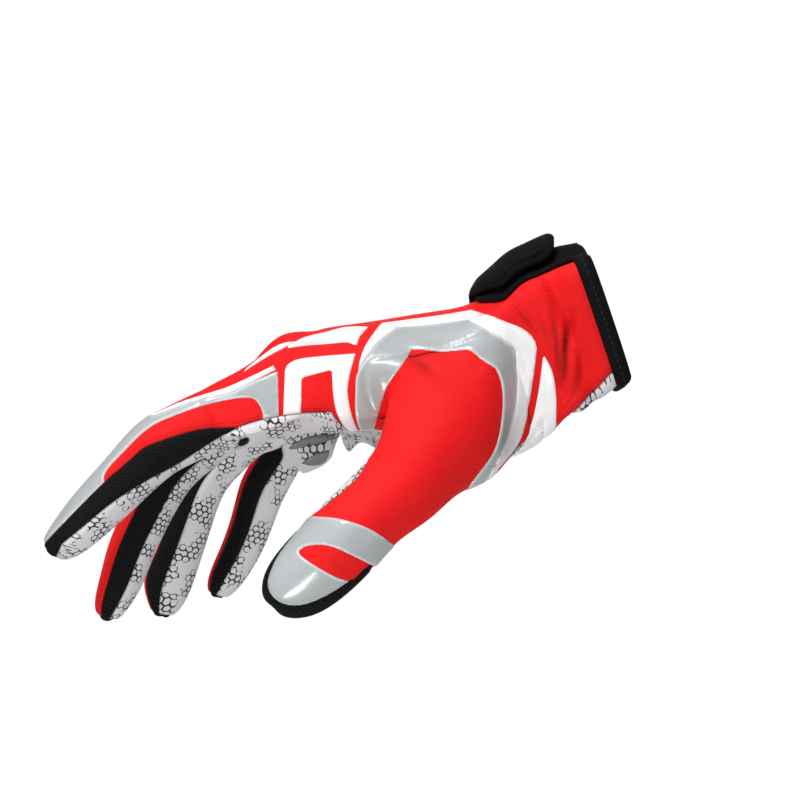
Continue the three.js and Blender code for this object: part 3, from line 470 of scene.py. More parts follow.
# Places of the side view's outlines: a line's reach and rise are shares of size, measured from x and z.
# nearest, in shares of the palm's width, is where an outline ends on the thumb's side of the hand.
filmPlaces = {
    "hand": dict(x=0, z=0, size=palmLength, nearest=-0.1),
    "index": dict(x=-fingers[0]["back"] * palmLength, z=fingers[0]["rise"] * palmLength,
                  size=fingers[0]["length"] * hand["fingerLength"], nearest=-0.24),
    "thumb": dict(x=-thumb["back"] * palmLength, z=thumb["rise"] * palmLength,
                  size=hand["thumbLength"], nearest=-0.3),
}
# Where seams run otherwise than the hand shape's own lines. The rows of a line are reach and rise, with a 1
# where it turns sharply.
indexBack = [(1.144, -0.356, 1), (1.267, -0.366), (1.385, -0.4), (1.44, -0.424), (1.487, -0.465),
             (1.573, -0.54), (1.745, -0.712, 1)]
indexPalm = [(1.235, -0.412), (1.336, -0.478), (1.424, -0.524), (1.528, -0.589), (1.623, -0.666),
             (1.69, -0.719, 1), (1.72, -0.78, 1)]
palmEdge = [(0.853, -0.31, 1), (0.84, -0.335), (0.79, -0.38), (0.735, -0.413, 1)]
thumbTip = [(0.787, -0.82, 1), (0.845, -0.858), (0.902, -0.886), (0.951, -0.898), (1.0, -0.891),
            (1.036, -0.863), (1.046, -0.822), (1.022, -0.758), (0.985, -0.706), (0.918, -0.629, 1)]
seamRuns = [  # panel, panels that it takes cloth from there, nearest, line
    ("back_panel", ("index_outer_gusset", "palm_panel"), -0.4,
     indexBack + [(1.85, -0.7, 1), (1.6, -0.3, 1), (1.144, -0.3, 1)]),
    ("palm_panel", ("index_outer_gusset", "back_panel"), -0.4,
     indexBack[:1] + indexPalm + [(1.5, -0.8, 1), (1.144, -0.5, 1)]),
    ("index_outer_gusset", ("palm_panel", "back_panel"), -0.4,
     indexBack + [(1.8, -0.76, 1)] + indexPalm[::-1]),
    ("palm_panel", ("back_panel",), -0.3,
     indexBack[:1] + [(1.076, -0.335), (1.014, -0.322), (0.955, -0.315)] + palmEdge
     + [(0.735, -0.5, 1), (1.144, -0.5, 1)]),
    ("back_panel", ("palm_panel", "thumb_palm_panel"), -0.3,
     palmEdge + [(0.6, -0.413, 1), (0.6, -0.25, 1), (0.853, -0.25, 1)]),
    ("thumb_gusset", ("thumb_back_panel", "thumb_palm_panel"), -0.6,
     thumbTip + [(0.95, -0.6, 1), (1.1, -0.75, 1), (1.1, -0.95, 1), (0.85, -1.0, 1), (0.72, -0.85, 1)]),
    ("thumb_back_panel", ("thumb_gusset", "thumb_palm_panel"), -0.6,
     thumbTip + [(0.7, -0.4, 1), (0.5, -0.6, 1)]),
    ("thumb_palm_panel", ("thumb_back_panel",), -0.3,
     [(0.735, -0.413, 1), (0.737, -0.44), (0.767, -0.497), (0.802, -0.534), (0.85, -0.574), (0.9, -0.614, 1),
      (0.92, -0.55, 1), (0.77, -0.4, 1)]),
    ("back_panel", ("palm_panel",), -0.03,
     [(-0.08, -0.13, 1), (-0.027, -0.185), (0.011, -0.225), (0.042, -0.257), (0.071, -0.288),
      (0.116, -0.336), (0.147, -0.361), (0.19, -0.4, 1), (0.19, -0.1, 1), (-0.08, -0.1, 1)]),
    ("index_middle_gusset", ("palm_panel",), -0.3,
     [(1.146, -0.42, 1), (1.138, -0.4), (1.115, -0.392, 1), (1.112, -0.405), (1.13, -0.42)]),
]
cloth = {"wall": 1.0 * mm, "seamDepth": 0.45 * mm, "seamWidth": 0.9 * mm, "snap": 0.04 * mm,
         "same": 0.1 * mm * mm, "flatSame": 0.01 * mm}


def sideView(points):
    return points[:, [0, 2]]


def cutCloth():  # the skin in triangles, with the panels' seams cut in
    each = skin.faces.reshape(-1)
    keys = np.column_stack((each, np.round(skin.flats.reshape(-1, 2) / cloth["flatSame"])))
    _, first, index = np.unique(keys, axis=0, return_index=True, return_inverse=True)
    corners = index.reshape(-1, 4)
    source = each[first]
    data = np.column_stack((skin.points[source], skinNormals[source], skin.flats.reshape(-1, 2)[first]))
    triangles = np.concatenate((corners[:, :3], corners[:, [0, 2, 3]]))
    tags = np.tile(skin.tags, 2)
    for panel, taken, nearest, line in seamRuns:
        field = outlineDistance(sideView(data), outlinePoints(line, filmPlaces["hand"]))
        field = np.maximum(field, data[:, 1] - nearest * hand["palmWidth"])
        field[np.abs(field) < cloth["snap"]] = 0
        free = np.isin(tags, indicesOf(taken))
        touched = free & (field[triangles] < 0).any(1)
        data, inside, field = clipped(data, triangles[touched], field)
        parts = [triangles[~touched], inside]
        partTags = [tags[~touched], np.full(len(inside), panelNames.index(panel))]
        rest = -field
        for tag in np.unique(tags[touched]):
            data, part, rest = clipped(data, triangles[touched & (tags == tag)], rest)
            parts.append(part)
            partTags.append(np.full(len(part), tag))
        triangles, tags = np.concatenate(parts), np.concatenate(partTags)
    _, first, index = np.unique(np.round(data[:, :3] / cloth["same"]).astype(np.int64), axis=0,
                                return_index=True, return_inverse=True)
    flats = data[triangles, 6:8]
    triangles = index.reshape(-1)[triangles]
    whole = (triangles != np.roll(triangles, 1, 1)).all(1)
    return data[first, :3], data[first, 3:6], triangles[whole], flats[whole], tags[whole]


basePoints, baseNormals, clothFaces, clothFlats, clothTags = cutCloth()
baseNormals = units(baseNormals)


def onBorders(panels=None):  # points where panels meet, or where some panels meet the rest
    values = clothTags if panels is None else np.isin(clothTags, indicesOf(panels))
    low, high = np.full(len(basePoints), 99), np.full(len(basePoints), -1)
    each = np.repeat(values.astype(int), 3)
    np.minimum.at(low, clothFaces.reshape(-1), each)
    np.maximum.at(high, clothFaces.reshape(-1), each)
    return low < high


def distanceTo(places):
    tree = KDTree(len(places))
    for i, place in enumerate(places):
        tree.insert(place, i)
    tree.balance()
    return np.array([tree.find(point)[2] for point in basePoints])


# Folds in the side view: from and to (reach and rise as shares of the palm's length), depth and width in mm.
# Each is a groove between two low banks, and painted shade darkens its bottom, fullest where a fold is
# creaseDepth deep or deeper.
folds = [
    ((0.105, 0.0), (0.136, -0.254), 1.7, 1.6),
    ((0.158, -0.005), (0.145, -0.19), 1.0, 1.5),
    ((0.215, 0.02), (0.165, -0.13), 0.6, 1.5),
    ((0.29, 0.03), (0.2, -0.08), 0.8, 1.7),
    ((0.34, 0.0), (0.26, -0.05), 0.6, 1.6),
    ((0.055, -0.14), (0.09, -0.26), 0.5, 1.6),
    ((0.625, -0.12), (0.53, -0.19), 0.8, 2.2),
    ((0.36, -0.13), (0.43, -0.18), 0.4, 2.2),
]
fold = {"fade": 0.6, "bank": 0.45, "bankPlace": 1.9, "creaseNarrowing": 1.3, "creaseDepth": 1.4}
fromSeam = distanceTo(basePoints[onBorders()])
relief = -cloth["seamDepth"] * np.exp(-(fromSeam / cloth["seamWidth"]) ** 2)
# painted shade in the folds' grooves, from 0 to 1, which darkens the red knit
paintedCreaseShade = np.zeros(len(basePoints))
foldSpots = sideView(basePoints) / palmLength * (-1, 1)
onNearSide = np.clip(-baseNormals[:, 1] * 2, 0, 1)
for start, end, depth, width in folds:
    away, share = segmentDistance(foldSpots, start, end)
    away = away * palmLength / (width * mm)
    fade = np.sin(np.pi * np.clip(share * 0.96 + 0.02, 0, 1)) ** fold["fade"]
    wave = np.exp(-away ** 2) - fold["bank"] * np.exp(-(away - fold["bankPlace"]) ** 2)
    relief -= depth * mm * wave * fade * onNearSide
    # how strongly painted shade darkens this fold's groove, in a band narrower than the groove
    dark = np.exp(-(away * fold["creaseNarrowing"]) ** 2) * fade * onNearSide
    paintedCreaseShade = np.maximum(paintedCreaseShade, dark * min(depth / fold["creaseDepth"], 1))
clothPoints = basePoints + baseNormals * relief[:, None]


def normalsOf(points, triangles):
    a, b, c = points[triangles].transpose(1, 0, 2)
    total = np.zeros((len(points), 3))
    np.add.at(total, triangles.reshape(-1), np.repeat(np.cross(b - a, c - a), 3, 0))
    return total / np.maximum(np.linalg.norm(total, axis=1), 1e-12)[:, None]


clothNormals = normalsOf(clothPoints, clothFaces)
print("cloth", len(clothFaces), "triangles")


class Flow:  # a socket that takes part in arithmetic
    def __init__(self, shade, socket):
        self.shade, self.socket = shade, socket

    def __abs__(self):
        return self.shade.math("ABSOLUTE", self)

    def __rsub__(self, other):
        return self.shade.math("SUBTRACT", other, self)


for sign, operation in (("add", "ADD"), ("radd", "ADD"), ("sub", "SUBTRACT"), ("mul", "MULTIPLY"),
                        ("rmul", "MULTIPLY"), ("truediv", "DIVIDE"), ("mod", "FLOORED_MODULO"),
                        ("lt", "LESS_THAN"), ("gt", "GREATER_THAN")):
    setattr(Flow, f"__{sign}__", lambda a, b, operation=operation: a.shade.math(operation, a, b))


class Shade:  # the nodes of a material or of the world
    def __init__(self, owner):
        self.owner = owner
        owner.use_nodes = True
        self.tree = owner.node_tree
        self.tree.nodes.clear()

    def node(self, kind, inputs, output=0, **settings):  # adds a node and gives one of its outputs
        made = self.tree.nodes.new("ShaderNode" + kind)
        for key, value in settings.items():
            setattr(made, key, value)
        for key, value in inputs.items():
            socket = self.find(made.inputs, key)
            if isinstance(value, Flow):
                self.tree.links.new(value.socket, socket)
            else:
                socket.default_value = value
        return None if output is None else Flow(self, self.find(made.outputs, output))

    def find(self, sockets, key):
        if isinstance(key, int):
            return sockets[key]
        return next((s for s in sockets if s.identifier == key), None) or sockets[key]

    def math(self, operation, *values):
        return self.node("Math", dict(enumerate(values)), operation=operation)

    def mix(self, share, a, b):
        return self.node("Mix", {"Factor_Float": share, "A_Color": a, "B_Color": b}, "Result_Color",
                         data_type="RGBA")

    def smooth(self, value, low, high):
        return self.node("MapRange", {"Value": value, "From Min": low, "From Max": high}, "Result",
                         interpolation_type="SMOOTHSTEP")

    def noise(self, scale, detail, vector=None):
        place = vector or self.node("TexCoord", {}, "Object")
        return self.node("TexNoise", {"Vector": place, "Scale": scale, "Detail": detail}, "Fac")

    def split(self, vector):
        parts = self.node("SeparateXYZ", {"Vector": vector}).socket.node.outputs
        return [Flow(self, part) for part in parts]

    def flatPlace(self):  # millimetres across and along the flat cloth
        s, t, _ = self.split(self.node("UVMap", {}, "UV", uv_map="cloth"))
        return s * 1000, t * 1000

    def attribute(self, name):
        return self.node("Attribute", {}, "Fac", attribute_name=name)

    def surface(self, colour, roughness, height=None, depth=0, fixed=None):
        inputs = {"Base Color": colour, "Roughness": roughness, **(fixed or {})}
        if height is not None:
            inputs["Normal"] = self.node("Bump", {"Height": height, "Distance": depth}, "Normal")
        shader = self.node("BsdfPrincipled", inputs, "BSDF")
        self.node("OutputMaterial", {"Surface": shader}, None)
        return self.owner


def newMaterial(name):
    return Shade(bpy.data.materials.new(name))


def paintedSeamShade(shade, colour, dark, strength):  # painted shade in the groove of a seam
    return shade.mix(shade.smooth(shade.attribute("fromSeam"), 0.7, 0.1) * strength, colour, dark)


def stitched(shade, along, start, stop, step):  # 1 on stitches beside a seam
    away = shade.attribute("fromSeam")
    return (away > start) * (away < stop) * (along % step > step * 0.35)


# In the cloths' materials lengths are in mm, with s across the flat cloth and t along it
def redKnit():
    shade = newMaterial("redKnit")
    ribPitch, ribSlant, stitchPitch, stitchSlant = 0.72, 0.35, 0.6, 0.2
    s, t = shade.flatPlace()
    rib = abs(shade.math("SINE", (s + t * ribSlant) * (math.pi / ribPitch)))
    stitch = shade.math("SINE", (t - s * stitchSlant) * (2 * math.pi / stitchPitch)) * 0.5 + 0.5
    height = rib * 0.7 + stitch * 0.3
    broad = shade.noise(60, 3)
    dark = (0.1, 0.0, 0.001, 1)
    colour = shade.mix(height * 0.55 + broad * 0.45, (0.6, 0.001, 0.002, 1), (0.95, 0.007, 0.009, 1))
    # painted shade along the bottoms of the folds
    colour = shade.mix(shade.smooth(shade.attribute("paintedCreaseShade"), 0.1, 1.0) * 0.8, colour, dark)
    # painted shade in the seams' grooves
    colour = paintedSeamShade(shade, colour, dark, 0.7)
    colour = shade.mix(stitched(shade, t + s, start=1.3, stop=1.55, step=1.6) * 0.45, colour, dark)
    return shade.surface(colour, 0.62 + broad * 0.1, height, 0.1 * mm, {"Specular IOR Level": 0.22})


def gripCloth():  # a honeycomb print of broken outlines, in groups
    shade = newMaterial("gripCloth")
    cell, line = 2.25, 0.12
    root = math.sqrt(3)
    s, t = shade.flatPlace()
    x, y = s / cell, t / cell
    wrap = lambda value, size: value % size - size / 2
    evenX, evenY = wrap(x, 1.0), wrap(y, root)  # from the nearest cell's centre in every other row
    oddX, oddY = wrap(x - 0.5, 1.0), wrap(y - root / 2, root)  # and in the rows between them
    even = (evenX * evenX + evenY * evenY) < (oddX * oddX + oddY * oddY)
    inX = evenX * even + oddX * (1 - even)
    inY = evenY * even + oddY * (1 - even)
    outline = shade.math("MAXIMUM", abs(inX), abs(inX) * 0.5 + abs(inY) * (root / 2)) > 0.5 - line
    centre = shade.node("CombineXYZ", {"X": x - inX, "Y": y - inY}, "Vector")
    here = shade.node("CombineXYZ", {"X": x, "Y": y}, "Vector")
    groups = shade.noise(0.25, 1.0, centre) * 0.7 + shade.noise(0.5, 2.0, here) * 0.3
    mark = outline * (groups > 0.5) * (shade.noise(1.6, 1.0, here) > 0.37)
    base = shade.mix(shade.noise(45, 3), (0.56, 0.55, 0.57, 1), (0.74, 0.73, 0.75, 1))
    # painted shade in the seams' grooves
    base = paintedSeamShade(shade, base, (0.12, 0.12, 0.12, 1), 0.6)
    colour = shade.mix(mark, base, (0.006, 0.006, 0.007, 1))
    return shade.surface(colour, 0.5, shade.noise(900, 2) * 0.4 + mark * 0.6, 0.06 * mm)


def meshCloth():  # round holes in staggered rows
    shade = newMaterial("meshCloth")
    pitch, rowPitch = 1.25, 1.1
    s, t = shade.flatPlace()
    row = t / rowPitch
    stagger = shade.math("FLOOR", row) % 2.0 * 0.5
    x = (s / pitch + stagger) % 1.0 - 0.5
    y = row % 1.0 - 0.5
    yarn = shade.smooth(shade.math("SQRT", x * x + y * y), 0.18, 0.42)
    colour = shade.mix(yarn, (0.0005, 0.0005, 0.0005, 1), (0.006, 0.006, 0.007, 1))
    return shade.surface(colour, 0.7, yarn, 0.25 * mm, {"Specular IOR Level": 0.12})


def film(name, dark, light, roughness, edge):
    shade = newMaterial(name)
    colour = shade.mix(shade.noise(35, 2), dark, light)
    colour = shade.mix(shade.smooth(shade.attribute("inset"), 1.1, 0.25) * 0.8, colour, edge)
    height = shade.noise(170, 2) + shade.noise(700, 1) * 0.2
    return shade.surface(colour, roughness, height, 0.28 * mm, {"Coat Weight": 0.7, "Coat Roughness": 0.1})


def blackTape():
    shade = newMaterial("blackTape")
    yarnPitch, stitchPitch = 0.9, 2.1
    s, t = shade.flatPlace()
    turn = 2 * math.pi / yarnPitch
    weave = shade.math("SINE", s * turn) * shade.math("SINE", t * turn) * 0.5 + 0.5
    broad = shade.noise(120, 3)
    colour = shade.mix(weave * 0.6 + broad * 0.4, (0.001, 0.001, 0.0012, 1), (0.006, 0.006, 0.007, 1))
    stitches = (t > 3.0) * (t < 3.5) * (s % stitchPitch > 0.9)
    colour = shade.mix(stitches, colour, (0.022, 0.022, 0.025, 1))
    return shade.surface(colour, 0.8, weave + broad, 0.15 * mm, {"Specular IOR Level": 0.12})


def felt():
    shade = newMaterial("felt")
    fuzz = shade.noise(1400, 4)
    broad = shade.noise(90, 3)
    colour = shade.mix(fuzz * 0.6 + broad * 0.4, (0.0008, 0.0008, 0.001, 1), (0.008, 0.008, 0.01, 1))
    return shade.surface(colour, 0.9, fuzz + broad, 0.3 * mm, {"Specular IOR Level": 0.1})


finishes = {
    "red": redKnit(), "grip": gripCloth(), "mesh": meshCloth(), "tape": blackTape(), "felt": felt(),
    "grey": film("greyFilm", (0.35, 0.38, 0.39, 1), (0.43, 0.46, 0.465, 1), 0.28, (0.6, 0.63, 0.64, 1)),
    "white": film("whiteFilm", (0.88, 0.88, 0.89, 1), (0.94, 0.94, 0.95, 1), 0.4, (0.84, 0.83, 0.83, 1)),
    # print is the dark grey of the two leaf shapes on the palm
    "print": film("darkGreyLeaf", (0.15, 0.155, 0.16, 1), (0.2, 0.205, 0.21, 1), 0.4, (0.15, 0.15, 0.15, 1)),
}
print("materials")


def addObject(name, data, place=(0, 0, 0)):
    made = bpy.data.objects.new(name, data)
    made.location = place
    bpy.context.scene.collection.objects.link(made)
    return made


# flats and attributes are what the piece's material reads: places on the flat cloth, and values at the points
def addPiece(name, points, faces, finish, slot, replaced=(), flats=None, attributes=None):
    mesh = bpy.data.meshes.new(name)
    mesh.from_pydata(points.tolist(), [], faces.tolist())
    if flats is not None:
        mesh.uv_layers.new(name="cloth").data.foreach_set("uv", flats.reshape(-1).astype(np.float32))
    for key, values in (attributes or {}).items():
        mesh.attributes.new(key, "FLOAT", "POINT").data.foreach_set("value", values.astype(np.float32))
    mesh.polygons.foreach_set("use_smooth", np.ones(len(mesh.polygons), bool))
    mesh.materials.append(finishes[finish])
    mesh.update()
    piece = addObject(name, mesh)
    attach(piece, "root")
    if replaced:
        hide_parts(*replaced)


def rimOf(faces):  # the edges that only one of these faces has, in that face's direction
    pairs = sidesOf(faces)
    _, back, count = np.unique(np.sort(pairs, 1), axis=0, return_inverse=True, return_counts=True)
    return pairs[count[back.reshape(-1)] == 1]


def wallsOf(triangles, n):  # from an open surface's rim to that of its copy, whose points come n later
    rim = rimOf(triangles)
    return [np.stack((rim[:, 1], rim[:, 0], rim[:, 0] + n), 1),
            np.stack((rim[:, 1], rim[:, 0] + n, rim[:, 1] + n), 1)]


def closed(top, bottom, triangles):  # a closed layer between two copies of an open surface
    n = len(top)
    return (np.concatenate((top, bottom)),
            np.concatenate([triangles, triangles[:, ::-1] + n, *wallsOf(triangles, n)]))


def addPanel(name, finish, slot):
    chosen = clothTags == panelNames.index(name)
    used, index = np.unique(clothFaces[chosen], return_inverse=True)
    triangles = index.reshape(-1, 3)
    inner = basePoints[used] - baseNormals[used] * cloth["wall"]
    points, faces = closed(clothPoints[used], inner, triangles)
    flats = np.zeros((len(faces), 3, 2))
    flats[:len(triangles)] = clothFlats[chosen]
    flats[len(triangles):2 * len(triangles)] = clothFlats[chosen][:, ::-1]
    # the distance from the seams, and the folds' painted shade, for the cloth's material
    looks = {"fromSeam": np.tile(fromSeam[used], 2) * 1000, "paintedCreaseShade": np.tile(paintedCreaseShade[used], 2)}
    pieceName = name.replace("_panel", "_cloth").replace("gusset", "mesh_strip")
    addPiece(pieceName, points, faces, finish, slot, (name,), flats, looks)


for panelName in panelNames:
    if "gusset" in panelName:
        addPanel(panelName, "mesh", "mesh_cloth")
    elif "palm" in panelName:
        addPanel(panelName, "grip", "grip_cloth")
    else:
        addPanel(panelName, "red", "stretch_cloth")
print("panels")

outlines = {  # rows as in the seams' lines
    "capEdge": [(0.7, -0.394, 1), (0.6, -0.39), (0.513, -0.396), (0.424, -0.43), (0.33, -0.505, 1),
        (0.33, -0.8, 1), (0.9, -0.8, 1)],
    "capFlame": [(0.63, -0.484), (0.6, -0.467), (0.538, -0.47), (0.433, -0.522), (0.37, -0.57, 1),
        (0.4, -0.63, 1), (0.487, -0.568), (0.53, -0.552), (0.605, -0.508)],
    "archEdge": [(0.745, -0.408, 1), (0.777, -0.335), (0.78, -0.247), (0.772, -0.185), (0.711, -0.095),
        (0.648, -0.044, 1), (0.54, -0.037), (0.431, -0.021, 1), (0.281, -0.107, 1), (0.275, -0.235),
        (0.299, -0.372), (0.356, -0.49), (0.42, -0.62, 1)],
    "archOpening": [(0.735, -0.405, 1), (0.713, -0.332), (0.688, -0.248), (0.666, -0.208), (0.632, -0.161),
        (0.607, -0.114, 1), (0.52, -0.121), (0.427, -0.117, 1), (0.34, -0.179, 1), (0.324, -0.235),
        (0.325, -0.322), (0.35, -0.428), (0.425, -0.535), (0.5, -0.66, 1), (0.95, -0.66, 1)],
    "borderEdge": [(0.772, -0.23, 1), (0.769, -0.163), (0.748, -0.1), (0.701, -0.03, 1), (0.512, -0.005),
        (0.415, 0.012, 1), (0.256, -0.05), (0.211, -0.1, 1), (0.224, -0.21), (0.262, -0.392), (0.345, -0.5),
        (0.4, -0.6, 1), (0.5, -0.4, 1)],
    "finEdge": [(0.192, -0.128, 1), (0.163, -0.181), (0.15, -0.257), (0.149, -0.348, 1), (0.149, -0.5, 1),
        (0.33, -0.58, 1), (0.297, -0.462), (0.243, -0.398), (0.208, -0.257)],
    "frameEdge": [(0.999, -0.17, 1), (0.95, -0.144), (0.779, -0.128, 1), (0.797, -0.195), (0.803, -0.255),
        (0.786, -0.335), (0.748, -0.41, 1), (0.755, -0.5, 1), (1.01, -0.5, 1)],
    "frameOpening": [(0.946, -0.204, 1), (0.853, -0.179, 1), (0.849, -0.254), (0.835, -0.32),
        (0.79, -0.4, 1), (0.79, -0.55, 1), (0.955, -0.55, 1)],
    "bandEdge": [(0.995, -0.105, 1), (0.951, -0.077), (0.875, -0.058), (0.815, -0.042), (0.74, -0.041, 1),
        (0.767, -0.073, 1), (0.777, -0.106, 1), (0.806, -0.093), (0.856, -0.096), (0.947, -0.105),
        (0.992, -0.112, 1)],
    "indexEdge": [(0.85, -0.45, 1), (0.7, -0.25, 1), (0.5, -0.07, 1), (0.455, -0.091, 1), (0.293, -0.035),
        (0.195, -0.014), (0.111, 0.026), (0.023, 0.065, 1), (0.017, -0.2, 1), (0.3, -0.5, 1),
        (0.85, -0.7, 1)],
    "indexOpening": [(0.618, -0.34, 1), (0.617, -0.286), (0.545, -0.205), (0.476, -0.14), (0.404, -0.1),
        (0.259, -0.05), (0.129, -0.029), (0.087, -0.055), (0.074, -0.11), (0.074, -0.3, 1), (0.5, -0.5, 1)],
    "stripeEdge": [(0.475, -0.091, 1), (0.454, -0.084), (0.36, -0.043), (0.227, -0.001), (0.195, 0.01),
        (0.111, 0.048), (0.031, 0.087, 1), (0.031, -0.4, 1), (0.475, -0.4, 1)],
    "stripeOpening": [(0, 0.085, 1), (0.031, 0.068), (0.111, 0.026), (0.195, -0.014), (0.293, -0.035),
        (0.455, -0.091, 1), (0.5, -0.1, 1), (0.5, -0.5, 1), (0, -0.5, 1)],
    "knuckleEdge": [(1.127, -0.179, 1), (1.08, -0.142), (1.03, -0.106), (0.979, -0.087, 1), (0.979, -0.4, 1),
        (1.127, -0.4, 1)],
    "knuckleOpening": [(1.14, -0.197, 1), (1.115, -0.177), (1.055, -0.139), (1.004, -0.111),
        (0.965, -0.086, 1), (0.965, -0.5, 1), (1.14, -0.5, 1)],
    "leafEdge": [(1.013, -0.434, 1), (0.977, -0.408), (0.935, -0.39), (0.863, -0.384), (0.831, -0.39, 1),
        (0.873, -0.406), (0.925, -0.419), (0.987, -0.434, 1)],
    "smallLeafEdge": [(0.968, -0.481, 1), (0.946, -0.465), (0.906, -0.444), (0.868, -0.434, 1),
        (0.884, -0.471), (0.906, -0.486), (0.936, -0.488, 1)],
}
backs = ("back_panel", "thumb_back_panel")
films = {  # on is the panels below, and edge and opening are the film's outlines
    "thumb_cap_film": dict(finish="grey", on=backs[1:], place="thumb", edge="capEdge", opening="capFlame"),
    "thumb_arch_film": dict(finish="grey", on=backs, edge="archEdge", opening="archOpening"),
    "thumb_border_film": dict(finish="white", on=backs, edge="borderEdge", opening="archEdge"),
    "wrist_fin_film": dict(finish="white", on=backs + ("palm_panel", "thumb_palm_panel"), edge="finEdge"),
    "knuckle_frame_film": dict(finish="white", on=backs[:1], edge="frameEdge", opening="frameOpening"),
    "knuckle_band_film": dict(finish="white", on=backs[:1], edge="bandEdge"),
    "index_film": dict(finish="grey", on=backs[:1], place="index", edge="indexEdge", opening="indexOpening"),
    "index_stripe_film": dict(finish="white", on=backs[:1], place="index", edge="stripeEdge",
                              opening="stripeOpening"),
}
extraMarks = {  # marks that the CAD leaves out
    "knuckle_stripe_overlay": dict(finish="white", slot="white_film", on=backs[:1], edge="knuckleEdge",
                                   opening="knuckleOpening", nearest=-0.04),
    # two dark grey leaf shapes on the palm, near the fingers' roots
    "palm_dark_leaf": dict(finish="print", slot="grip_cloth", on=("palm_panel",), edge="leafEdge",
                            nearest=0.6),
    "palm_small_dark_leaf": dict(finish="print", slot="grip_cloth", on=("palm_panel",),
                                  edge="smallLeafEdge", nearest=0.6),
}
filmShape = {"rim": 0.13 * mm, "thickness": 0.2 * mm, "bevel": 0.5 * mm, "under": 0.2 * mm,
             "seamMargin": 0.1 * mm, "gap": 0.03 * mm}


def clothPart(panels, fields, normals=clothNormals, points=clothPoints):  # where all the fields are below 0
    chosen = np.isin(clothTags, indicesOf(panels))
    triangles = clothFaces[chosen]
    data = np.column_stack((points, normals, *fields))
    for column in range(len(fields)):
        values = data[:, 6 + column].copy()
        values[np.abs(values) < cloth["snap"] / 4] = 0
        data, triangles, _ = clipped(data, triangles, values)
    used, index = np.unique(triangles, return_inverse=True)
    data, triangles = data[used], index.reshape(-1, 3)
    whole = (triangles != np.roll(triangles, 1, 1)).all(1)
    return data[:, :3], units(data[:, 3:6]), -data[:, 6:].max(1), triangles[whole]


borderDistances = {}  # worked out once for each set of panels


def distanceFromOthers(panels):  # to the seams between these panels and the rest
    if panels not in borderDistances:
        borderDistances[panels] = distanceTo(basePoints[onBorders(panels)])
    return borderDistances[panels]


def addFilm(name, finish, on, edge, slot, opening=None, place="hand", nearest=None, replaced=()):
    where = filmPlaces[place]
    away = lambda key: outlineDistance(sideView(basePoints), outlinePoints(outlines[key], where))
    fields = [away(edge) + filmShape["gap"]]
    if opening:
        fields.append(filmShape["gap"] - away(opening))
    fields.append(filmShape["seamMargin"] - distanceFromOthers(on))
    fields.append(basePoints[:, 1] - (where["nearest"] if nearest is None else nearest) * hand["palmWidth"])
    spots, normals, inset, triangles = clothPart(on, fields)
    rise = np.clip(inset / filmShape["bevel"], 0, 1)
    height = filmShape["rim"] + filmShape["thickness"] * np.sqrt(1 - (1 - rise) ** 2)
    top, skirt = spots + normals * height[:, None], spots - normals * filmShape["under"]
    addPiece(name, np.concatenate((top, skirt)), np.concatenate([triangles, *wallsOf(triangles, len(top))]),
             finish, slot, replaced, attributes={"inset": np.tile(inset, 2) * 1000})


for node, row in films.items():
    addFilm(node.replace("_film", "_overlay"), slot=row["finish"] + "_film", replaced=(node,), **row)
for name, row in extraMarks.items():
    addFilm(name, **row)
print("films")

# width is how far the tape reaches in from the cloth's edge, beyond how far it stands past it, bend the
# share of its width where its round fold begins, and under the share of its thickness that it has inside
binding = {"width": 4.4 * mm, "beyond": 1.6 * mm, "thickness": 1.7 * mm, "bend": 0.42, "under": 0.8,
           "sides": 14, "hem": 0.1 * mm, "shoulder": 0.7 * mm, "lap": 0.15 * mm, "underLap": 0.3 * mm}


def rimStations():  # round the cuff's edge: its points, their normals and the directions in along the cloth
    follow = {int(a): int(b) for a, b in rimOf(skin.faces)}
    inner = {}
    for a, b in skin.edges:
        if skin.onRim[a] != skin.onRim[b]:
            inner[int(a if skin.onRim[a] else b)] = int(b if skin.onRim[a] else a)
    ring = [int(skin.rim[0, 0])]
    while follow[ring[-1]] != ring[0]:
        ring.append(follow[ring[-1]])
    inward = np.array([unit(skin.points[inner[i]] - skin.points[i]) for i in ring])
    return skin.points[ring], skinNormals[ring], inward


def evened(rows, rounds):  # evens out directions round a ring
    for _ in range(rounds):
        rows = units(rows * 2 + np.roll(rows, 1, 0) + np.roll(rows, -1, 0))
    return rows


def addBinding():
    rim, normals, inward = rimStations()
    rounds = 4 ** (hand["levels"] - 1) // 2
    normals, inward = evened(normals, rounds), evened(inward, rounds)
    middle, half, out = -cloth["wall"] / 2, cloth["wall"] / 2, binding["thickness"]
    width, bend = binding["width"], binding["width"] * binding["bend"]
    bent = []  # the tape's section round its fold: how far in along the cloth and out from it
    for i in range(binding["sides"] + 1):
        turn = math.pi * (0.5 - i / binding["sides"])
        bulge = out if turn > 0 else out * binding["under"]
        bent.append((bend - (bend + binding["beyond"]) * math.cos(turn),
                     middle + (half + bulge) * math.sin(turn)))
    top, bottom = bent[0][1], bent[-1][1] * 0.97
    hem, shoulder = width - binding["hem"], width - binding["shoulder"]
    section = [(width, middle + half + binding["lap"]), (hem, top * 0.75), (shoulder, top * 0.97), *bent,
               (shoulder, bottom), (hem, bottom * 0.8), (width, middle - half - binding["underLap"])]
    along = np.concatenate(([0], np.cumsum(np.linalg.norm(np.roll(rim, -1, 0) - rim, axis=1))))
    points = [point + into * reach + normal * rise for point, normal, into in zip(rim, normals, inward)
              for reach, rise in section]
    faces, flats = [], []
    n, k = len(rim), len(section)
    for i in range(n):
        here, there = i * k, ((i + 1) % n) * k
        for j in range(k):
            after = (j + 1) % k
            faces.append((here + j, there + j, there + after, here + after))
            flats.append(((along[i], j * mm), (along[i + 1], j * mm), (along[i + 1], (j + 1) * mm),
                          (along[i], (j + 1) * mm)))
    addPiece("cuff_tape", np.array(points), np.array(faces), "tape", "binding", ("cuff_binding",),
             np.array(flats))


addBinding()
print("binding")

